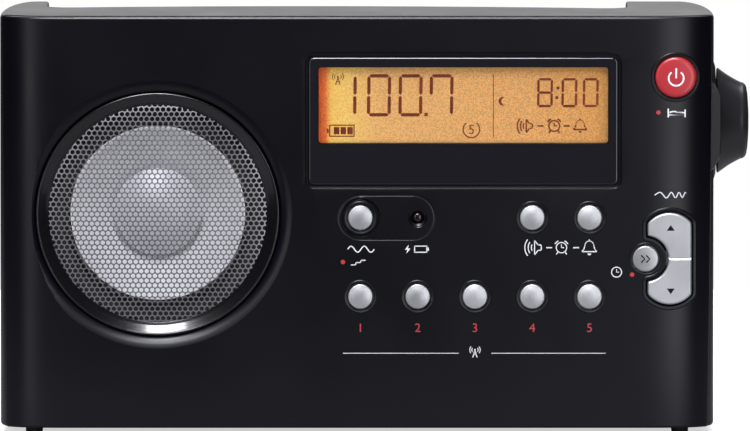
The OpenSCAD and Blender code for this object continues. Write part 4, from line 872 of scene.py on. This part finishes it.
# ---- Keys, rocker and lamp -------------------------------------------------------------
# The keys are moulded ABS caps with stems, painted silver; the power key is red. Each one
# presses a switch on the board behind. The rocker turns on an axle round the scan key.
key_silver = finish("key silver paint", (182, 183, 186), 0.4, metal=0.8, grains=5200,
                    depth=0.022, spread=0.08, tone=0.3)
key_red = finish("power key red", (164, 38, 46), 0.3, grains=3000, depth=0.004, tone=0.05,
                 coat=0.25)
ink = dict(grains=4000, depth=0.002)
print_white = finish("white print", (222, 222, 226), 0.5, tone=0.04, **ink)
print_grey = finish("grey print", (206, 207, 212), 0.5, tone=0.05, **ink)
print_red = finish("red print", (164, 46, 52), 0.5, tone=0.05, **ink)
print_black = finish("black print", (10, 10, 11), 0.6, specular=0.15, tone=0.05, **ink)
key_proud, flange, stem_r, stem_end = 0.7, 0.7, 1.5, 6.9


def key_cap(name, x, z, r, crown=0.42, edge=0.42):
    """A cap of radius r, 0.7 proud, with a crowned face, a rolled edge, a flange and a stem."""
    sink = float(front_deep(x))
    top, back = sink - key_proud + 0.15, 3.8 + sink
    face = [(s * (r - edge), top + crown * s * s) for s in np.linspace(0, 1, 7)]
    roll = quarter(r - edge, top + crown + edge, edge, -edge, 7)[-2::-1]
    stem = [(r, back - 1), (r + flange, back - 1), (r + flange, back), (stem_r, back),
            (stem_r, stem_end), (0, stem_end)]
    return smooth(turned(name, x, z, face + roll + stem, 96), 40, False)


rows = [("band", key_x[0], upper_z, "band_button", "band_key"),
        ("alarm_1", key_x[3], upper_z, "alarm_button_1", "alarm_key_1"),
        ("alarm_2", key_x[4], upper_z, "alarm_button_2", "alarm_key_2")]
rows += [(f"preset_{i + 1}", key_x[i], preset_z, f"preset_button_{i + 1}",
          f"preset_key_{i + 1}") for i in range(5)]
for name, x, z, solid_name, body in rows:
    dress(key_cap(f"{name}_cap", x, z, 3.25), key_silver, body, "key_silver", solid_name)
scan = key_cap("scan_cap", scan_x, rocker_z, 3.4, 0.12)
dress(scan, key_silver, "scan_key", "key_silver", "scan_button")
chevron = np.array([[-0.5, 0.95], [0.45, 0], [-0.5, -0.95]]) + [scan_x, rocker_z]
chevrons = [stroke(chevron + [dx, 0], 0.36) for dx in (-0.65, 0.65)]
dress(tiles("scan_sign", chevrons, -0.72, -0.6), print_black, "scan_key", "part_black")
power_line = [(0, -0.23), (3.9, -0.22), (4.6, -0.16), (4.95, -0.05), (5.18, 0.14), (5.3, 0.42),
              (5.3, 3.4), (6.0, 3.4), (6.0, 4.2), (stem_r, 4.2), (stem_r, stem_end),
              (0, stem_end)]
power = turned("power_cap", power_x, power_z, power_line, 128)
dress(smooth(power, 40, False), key_red, "power_key", "key_red", "power_button")
sign_x, sign_z = 83.05, 93.25
power_sign = [stroke(arc(sign_x, sign_z, 1.95, 128, 412, 40), 0.44),
              stroke([[sign_x, sign_z + 2.6], [sign_x, sign_z]], 0.44)]
dress(tiles("power_sign", power_sign, -0.26, -0.2), print_white, "power_key", "white_plastic")
loop = even(softened(even(rocker_outline(0.0), 240), 2), 240)
rocker_top, rocker_edge = -0.42, 0.55
edge = quarter(-rocker_edge, rocker_top + rocker_edge, rocker_edge, -rocker_edge, 8)
rocker = sunk("rocker_cap", loop, [(0.0, 3.4)] + edge, False)
wedge = np.array([[46.62, -0.9], [46.5, -0.15], [46.25, -0.15], [44.94, -0.9]])
ends = [points(x, front_y + wedge[:, 1], wedge[:, 0]) for x in (68, 92)]
carve(rocker, [loft("notch", np.stack(ends))])
carve(rocker, [block(80.4, 86.6, 3.3, 7.2, 44.1, 48.1)], "UNION")
dress(smooth(rocker, 30), key_silver, "rocker", "key_silver", "tuning_rocker")
arrow = np.array([[-1.05, -0.65], [1.05, -0.65], [0, 0.85]])
arrows = [arrow * [1, s] + [81.7, z] for s, z in ((1, 54.1), (-1, 37.7))]
dress(tiles("rocker_signs", arrows, -0.44, -0.4), print_black, "rocker", "part_black")
led_red = finish("lamp red", (18, 6, 7), 0.25, grains=900, depth=0.001, tone=0.1, coat=0.4)
led_line = [(0, 1.0), (0.6, 1.04), (1.05, 1.2), (1.38, 1.5), (1.5, 1.9), (1.5, 8.5),
            (1.9, 8.5), (1.9, 9.5), (0, 9.5)]
led = turned("charge_lamp", key_x[1], upper_z, led_line, 48)
dress(smooth(led, 40, False), led_red, "cabinet", "led_red", "charge_led")

# ---- Printed signs on the panel --------------------------------------------------------
# Fine pad-printed signs and figures, a few hundredths thick: figures under the presets,
# and a small picture for each other control. Nothing is written in words.
print_back, print_front = -0.02, 0.03
sign_row, thin, rule_z = 49.0, 0.26, 21.4
s = np.linspace(0, 1, 26)
wave = points(-2.4 + 6.9 * s, 48.6 + 0.8 * np.sin(4 * np.pi * s))
stairs = np.array([[-1.6, 44.5], [-0.3, 44.5], [-0.3, 45.1], [1.0, 45.1], [1.0, 45.7],
                   [2.3, 45.7]])
bolt = np.array([[0.25, 1.15], [-0.75, -0.15], [-0.1, -0.15], [-0.3, -1.15], [0.75, 0.2],
                 [0.1, 0.2]])
grey = [stroke(wave, 0.3)]
grey += [stroke([[x0, rule_z], [x1, rule_z]], 0.16) for x0, x1 in ((-3.66, 26.5), (35.0, 64.8))]
grey += bars(stairs, thin) + mast_sign(30.74, 21.6, 2.6) + [bolt + [13.2, 48.6]]
grey += battery_sign(15.0, 18.2, 47.8, 49.4, thin, 0.05, (18.55, 49.0, 48.2, 0.34))
grey += speaker_sign(46.6, sign_row, 4.6, thin) + clock_sign(53.25, sign_row, 1.35, thin)
grey += bell_sign(60.5, sign_row, 4.0, 0.28)
grey += [stroke([[x, sign_row], [x + 1.5, sign_row]], 0.3) for x in (49.3, 56.3)]
grey += clock_sign(67.6, 42.6, 1.3, thin, ears=False)
swing = 62.7 + 0.75 * np.sin(2 * np.pi * s * (1.2 + 2.2 * s))
grey += [stroke(points(77.5 + 8.2 * s, swing), 0.28)]
signs = tiles("panel_signs", grey, print_back, print_front, True)
dress(signs, print_grey, "cabinet", "white_plastic")
bed = [[[81.0, 85.3], [81.0, 83.0]], [[80.9, 83.65], [85.5, 83.65]],
       [[85.4, 85.0], [85.4, 83.0]], [[81.3, 84.3], [82.3, 84.55]],
       [[82.4, 84.55], [85.3, 84.15]]]
bed = [even(stroke(line, 0.34), 60) for line in bed]
signs = tiles("sleep_sign", bed, print_back, print_front, True)
dress(signs, print_white, "cabinet", "white_plastic")
dots = [circle(x, z, 0.58, 20) for x, z in ((78.45, 84.3), (-3.66, 45.25), (71.65, 41.96))]
dots = tiles("red_dots", dots, print_back, print_front, True)
dress(dots, print_red, "cabinet", "led_red")


def numeral(name, text, x, z, height, depth):
    """A printed figure: the built-in face's outline, made a thin plate on the panel."""
    curve = bpy.data.curves.new("figure", "FONT")
    curve.body, curve.size, curve.extrude, curve.align_x = text, height * 1.42, 0.025, "CENTER"
    maker = new_object("figure", curve)
    mesh = as_mesh(maker)
    bpy.data.objects.remove(maker)
    p = np.zeros(len(mesh.vertices) * 3)
    mesh.vertices.foreach_get("co", p)
    p = p.reshape(-1, 3)
    q = points(x + p[:, 0], front_y + depth - p[:, 2], z + p[:, 1] - height / 2)
    mesh.vertices.foreach_set("co", q.ravel() * 0.001)
    mesh.update()
    return new_object(name, mesh)


shown = numeral("display_figure_5", "5", 29.8, 79.75, 2.5, 2.76)
dress(shown, lcd_dark, "cabinet", "part_black")
for i, x in enumerate(key_x):
    printed = numeral(f"figure_{i + 1}", str(i + 1), x, 28.1, 2.3, 0.0)
    dress(printed, print_red, "cabinet", "led_red")

# ---- Volume knob -----------------------------------------------------------------------
# A push-on ABS knob with a satin side and a shallow dished face, on a 6 mm steel shaft
# that is held to the case's right side by a nut.
knob_black = finish("knob black", (30, 30, 33), 0.38, grains=3200, depth=0.01, tone=0.08)
skirt_r, skirt_x, waist_r, waist_x = 13.75, 94.35, 10.0, 100.35
knob_line = [(3.0, 100.4), (3.0, 94.2), (7.4, 94.2), (7.4, 94.0), (13.3, 94.0), (13.62, 94.1),
             (skirt_r, skirt_x)]
knob_line += [(skirt_r + (waist_r - skirt_r) * t - 0.25 * math.sin(math.pi * t),
               skirt_x + (waist_x - skirt_x) * t) for t in np.linspace(0.1, 1, 10)]
knob_line += quarter(waist_r - 1.9, waist_x, 1.9, 1.55, 9)[1:]
knob_line += [(7.6, 102.0), (7.2, 102.08), (5.0, 102.25), (2.5, 102.37), (0, 102.4),
              (0, 100.4)]
knob = sideways("knob_cap", 0, knob_z, knob_line, n=160)
dress(smooth(knob, 30, False), knob_black, "volume", "knob_black", "volume_knob")

# ---- Telescopic aerial -----------------------------------------------------------------
# Drawn brass tubes with chrome plate, nested in each other, on a tongue that tilts in a
# fork; the fork's spindle swivels in a socket in the recess's floor.
chrome = finish("chrome plate", (214, 214, 218), 0.14, metal=1.0, grains=1200, depth=0.002,
                spread=0.03, tone=0.03, stretch=(0.15, 1, 1))
aerial_y = front_y + aerial_deep
tube_r, tube_wall, tube_step, tube_l = 3.5, 0.5, 0.55, 108.0
tube_x, lip_r = -64.0, 0.25


def tube(name, x0, r):
    """A drawn tube along X with a groove and a rolled lip; the lip is an arc of 0.25 mm."""
    x1, bore, groove = x0 + tube_l, r - tube_wall, r - 0.14
    line = [(bore, x0 + 1.2), (bore, x0), (r - 0.3, x0), (r, x0 + 0.3), (r, x1 - 3.2),
            (groove, x1 - 3.0), (groove, x1 - 2.7), (r, x1 - 2.5)]
    lip = quarter(r - lip_r, x1 - lip_r, lip_r, lip_r, 5)
    return sideways(name, aerial_y, aerial_z, line + lip + [(bore, x1)], n=72)


def cross_pin(r, reach):
    """A pin through the tilting joint, from front to back."""
    return tiles("pin", [circle(aerial_x, aerial_z, r, 40)], aerial_deep - reach,
                 aerial_deep + reach)


for k in (1, 2):
    drawn = tube(f"antenna_tube_{k + 1}_drawn", tube_x + 2 * k, tube_r - tube_step * k)
    dress(smooth(drawn, 40, False), chrome, f"antenna_arm_{k + 1}", "aerial_chrome",
          f"antenna_tube_{k + 1}")
root = tube("antenna_tube_1_drawn", tube_x, tube_r)
plug_line = [(0, tube_x), (3.2, tube_x), (3.2, tube_x + 1.5), (0, tube_x + 1.5)]
plug = sideways("plug", aerial_y, aerial_z, plug_line)
heel = arc(aerial_x, aerial_z, 2.9, 124.2, 235.8, 15)
tongue = np.vstack([heel, [[-63.6, aerial_z - 2.4], [-63.6, aerial_z + 2.4]]])
blade = tiles("blade", [tongue], aerial_deep - 2.0, aerial_deep + 2.0)
carve(blade, [cross_pin(1.25, 4.0)])
carve(root, [plug, blade], "UNION")
dress(smooth(root, 35), chrome, "antenna_arm", "aerial_chrome", "antenna_tube_1")
tip_x, tip_r = 50.5, 3.5
rod_line = [(0, -57.0), (1.85, -57.0), (1.85, tip_x), (3.1, tip_x), (tip_r, tip_x + 0.5),
            (tip_r, tip_x + 3.6), (3.3, tip_x + 3.8), (3.3, tip_x + 4.0), (tip_r, tip_x + 4.2)]
rod_line += [(tip_r * math.cos(t), tip_x + 4.6 + 1.4 * math.sin(t))
             for t in np.linspace(0.1, np.pi / 2 - 0.05, 8)]
rod = sideways("antenna_rod_drawn", aerial_y, aerial_z, rod_line + [(0, tip_x + 6.0)], n=72)
dress(smooth(rod, 35, False), chrome, "antenna_arm_4", "aerial_chrome", "antenna_rod")
spindle_z = 90.3
fork_line = [(2.7, 0.0), (3.0, 0.3), (3.0, 5.35), (4.3, 5.3), (4.6, 5.6), (4.6, 12.6),
             (4.3, 13.1)]
fork = upright("swivel_fork", [circle(aerial_x, aerial_deep, r, 40) for r, _ in fork_line],
               [spindle_z + h for _, h in fork_line])
carve(fork, [block(aerial_x - 6, aerial_x + 6, aerial_deep - 2.1, aerial_deep + 2.1,
                   aerial_z - 3.2, 110)])
carve(fork, [cross_pin(1.2, 3.0)], "UNION")
dress(smooth(fork, 35), chrome, "antenna_base", "aerial_chrome", "antenna_swivel")

# ---- Jacks on the left side ------------------------------------------------------------
# A mains-adapter inlet and two 3.5 mm jacks, moulded in black nylon, with nickel sleeves
# in the two jacks. They are soldered to a small board behind round dishes in the case.
nylon = finish("jack nylon", (26, 26, 27), 0.45, grains=1800, depth=0.01, tone=0.1)
nickel = finish("nickel sleeve", (190, 186, 176), 0.25, metal=1.0, grains=1500, depth=0.002,
                tone=0.05)
for name in ("power_inlet", "aux_jack", "phones_jack"):
    refinish(name, nylon)
sleeve_line = [(1.82, 89.0), (2.0, 89.68), (2.5, 89.8), (3.0, 89.68), (3.05, 89.45),
               (2.6, 89.4)]
for k, name in enumerate(("aux", "phones"), 1):
    sleeve = sideways(f"{name}_sleeve", jack_y, jack_z + jack_pitch * k, sleeve_line, -1.0, 64)
    dress(smooth(sleeve, 40, False), nickel, "cabinet", "contact_nickel")

# ---- Working parts inside --------------------------------------------------------------
# Boards, switches, speaker motor, tuner, ferrite aerial, cells and their contacts. They
# keep their plain made shapes and get the finish of their own materials.
metal, wound = dict(metal=1.0, depth=0.004), dict(stretch=(1, 0.05, 0.05))
plated = dict(metal=0.9, depth=0.006)
inside = [
    ("white moulding", (226, 226, 220), 0.45, dict(grains=1500, depth=0.01, tone=0.04),
     ("lcd_holder", "light_guide")),
    ("amber lamp", (240, 170, 70), 0.25, dict(grains=900, depth=0.002, tone=0.08),
     ("backlight_leds",)),
    ("dark foam", (38, 38, 38), 0.85, dict(grains=1400, depth=0.08, tone=0.25),
     ("speaker_gasket", "speaker_surround")),
    ("zinc plate", (178, 178, 176), 0.4, dict(grains=1100, tone=0.1, **plated),
     ("speaker_basket", "tuner_shield")),
    ("ferrite", (58, 56, 56), 0.6, dict(grains=2200, tone=0.15),
     ("speaker_magnet", "ferrite_rod")),
    ("yellow passivated steel", (176, 158, 110), 0.4, dict(grains=1300, **plated),
     ("speaker_yoke",)),
    ("cap silver", (222, 222, 228), 0.42, dict(metal=0.15, grains=2600, depth=0.012, tone=0.05),
     ("dust_cap",)),
    ("enamelled copper wire", (176, 96, 52), 0.3,
     dict(metal=0.9, grains=4200, depth=0.03, **wound), ("voice_coil", "ferrite_coil")),
    ("spider cloth", (186, 150, 96), 0.8, dict(grains=1600, depth=0.06, tone=0.15),
     ("speaker_spider",)),
    ("board lacquer", (26, 82, 44), 0.3, dict(grains=700, depth=0.01, tone=0.2, coat=0.2),
     ("control_board", "main_board", "jack_board")),
    ("part black", (30, 30, 31), 0.5, dict(grains=2600, depth=0.008, tone=0.1),
     ("tact_switches", "board_chips")),
    ("capacitor sleeve", (34, 48, 96), 0.25, dict(grains=800, depth=0.004, tone=0.1),
     ("capacitors",)),
    ("bright zinc", (190, 190, 188), 0.32, dict(grains=1200, tone=0.08, **metal),
     ("control_screws", "main_screws", "speaker_screws", "volume_nut", "volume_control")),
    ("turned steel", (184, 184, 186), 0.25, dict(grains=3000, tone=0.05, **metal, **wound),
     ("volume_shaft",)),
    ("cell wrap", (58, 60, 66), 0.28, dict(grains=900, depth=0.004, tone=0.08, coat=0.2),
     ("battery_cells",)),
    ("contact nickel", (196, 192, 182), 0.28,
     dict(metal=1.0, grains=1500, depth=0.003, tone=0.06), ("battery_contacts",)),
]
for label, colour, rough, texture, names in inside:
    material = finish(label, colour, rough, **texture)
    for name in names:
        refinish(name, material)

# ---- Floor, light and camera -----------------------------------------------------------
# A pale floor under soft lamps: two broad ones above the front, a tall strip on each side,
# a small one close on the right, and three high ones at the back. The camera looks at the
# front from a long way off and a little above.
floor_mat, tree, shader = new_material("pale floor")
seen = node(tree, "LightPath")
pale = node(tree, "Mix", data_type="RGBA")
give(pale, {6: (0.2, 0.2, 0.21, 1), 7: (0.86, 0.86, 0.87, 1)})
lift = node(tree, "Math", {1: 0.6}, operation="MULTIPLY")
give(shader, {"Roughness": 0.7, "Emission Color": (1, 1, 1, 1)})
join(tree, (seen, "Is Camera Ray", lift, 0), (seen, "Is Camera Ray", pale, 0),
     (pale, 2, shader, "Base Color"), (lift, 0, shader, "Emission Strength"))
gx, gy = np.meshgrid(np.linspace(-340, 340, 13), np.linspace(-130, 400, 13), indexing="ij")
floor = solid("floor", points(gx, gy, -0.05), [quads(13, 13)])
floor.data.materials.append(floor_mat)
if floor.data.polygons[0].normal.z < 0:
    floor.data.flip_normals()

# The surroundings shine from above and behind, are white to the camera, and give a flat
# soft light to what they only light.
world = bpy.data.worlds.new("soft studio")
bpy.context.scene.world = world
world.use_nodes = True
tree = world.node_tree
back = tree.nodes["Background"]
where = node(tree, "TexCoord")
parts = node(tree, "SeparateXYZ")
behind = span(tree, 0.92, 0.985, 0.0, 1.3, "SMOOTHSTEP")
sky = span(tree, 0.02, 0.09, curve="SMOOTHSTEP")
glow = node(tree, "Math", {2: 0.03}, operation="MULTIPLY_ADD")
seen = node(tree, "LightPath")
soft = node(tree, "Mix", {3: 0.3}, data_type="FLOAT")
sight = node(tree, "Mix", {3: 1.0}, data_type="FLOAT")
give(back, {"Color": (1, 1, 1, 1)})
join(tree, (where, "Generated", parts, 0), (parts, "Y", behind, "Value"),
     (parts, "Z", sky, "Value"), (behind, 0, glow, 0), (sky, 0, glow, 1),
     (seen, "Is Diffuse Ray", soft, 0), (glow, 0, soft, 2),
     (seen, "Is Camera Ray", sight, 0), (soft, 0, sight, 2), (sight, 0, back, "Strength"))


def lamp(name, azimuth, height, away, wide, tall, watts):
    """A soft rectangular lamp aimed at the radio, placed by its angles and distance."""
    a, e = math.radians(azimuth), math.radians(height)
    light = bpy.data.lights.new(name, "AREA")
    light.shape, light.size, light.size_y, light.energy = "RECTANGLE", wide, tall, watts
    light.color = (0.95, 0.955, 1.0)
    obj = new_object(name, light)
    spot = Vector((math.sin(a) * math.cos(e), -math.cos(a) * math.cos(e), math.sin(e)))
    obj.location = away * spot + Vector((0, 0, 0.06))
    obj.rotation_euler = spot.to_track_quat("Z", "Y").to_euler()


lamp("lamp above", -13, 60, 1.3, 0.42, 0.25, 13)
lamp("strip left", -31, 8, 1.3, 0.26, 0.7, 1.5)
lamp("strip right", 31, 5, 1.3, 0.26, 0.7, 0.9)
lamp("near right", 24, 0, 0.5, 0.12, 0.3, 0.34)
lamp("front lamp", -8, 40, 1.3, 0.6, 0.35, 12)
lamp("rear left", 210, 52, 1.4, 0.7, 0.4, 8)
lamp("rear right", 150, 56, 1.4, 0.7, 0.4, 5)
lamp("top lamp", 160, 84, 1.4, 0.6, 0.4, 5)

camera = bpy.data.cameras.new("camera")
camera.sensor_width, camera.lens = 36.0, 922.0
camera.clip_start, camera.clip_end = 0.1, 100.0
eye = new_object("camera", camera)
away, tilt = 5.0, math.radians(4.85)
eye.location = (0.0047, -0.0275 - away * math.cos(tilt), 0.0574 + away * math.sin(tilt))
eye.rotation_euler = (math.pi / 2 - tilt, 0, 0)
bpy.context.scene.camera = eye
bpy.context.scene.view_settings.view_transform = "Standard"
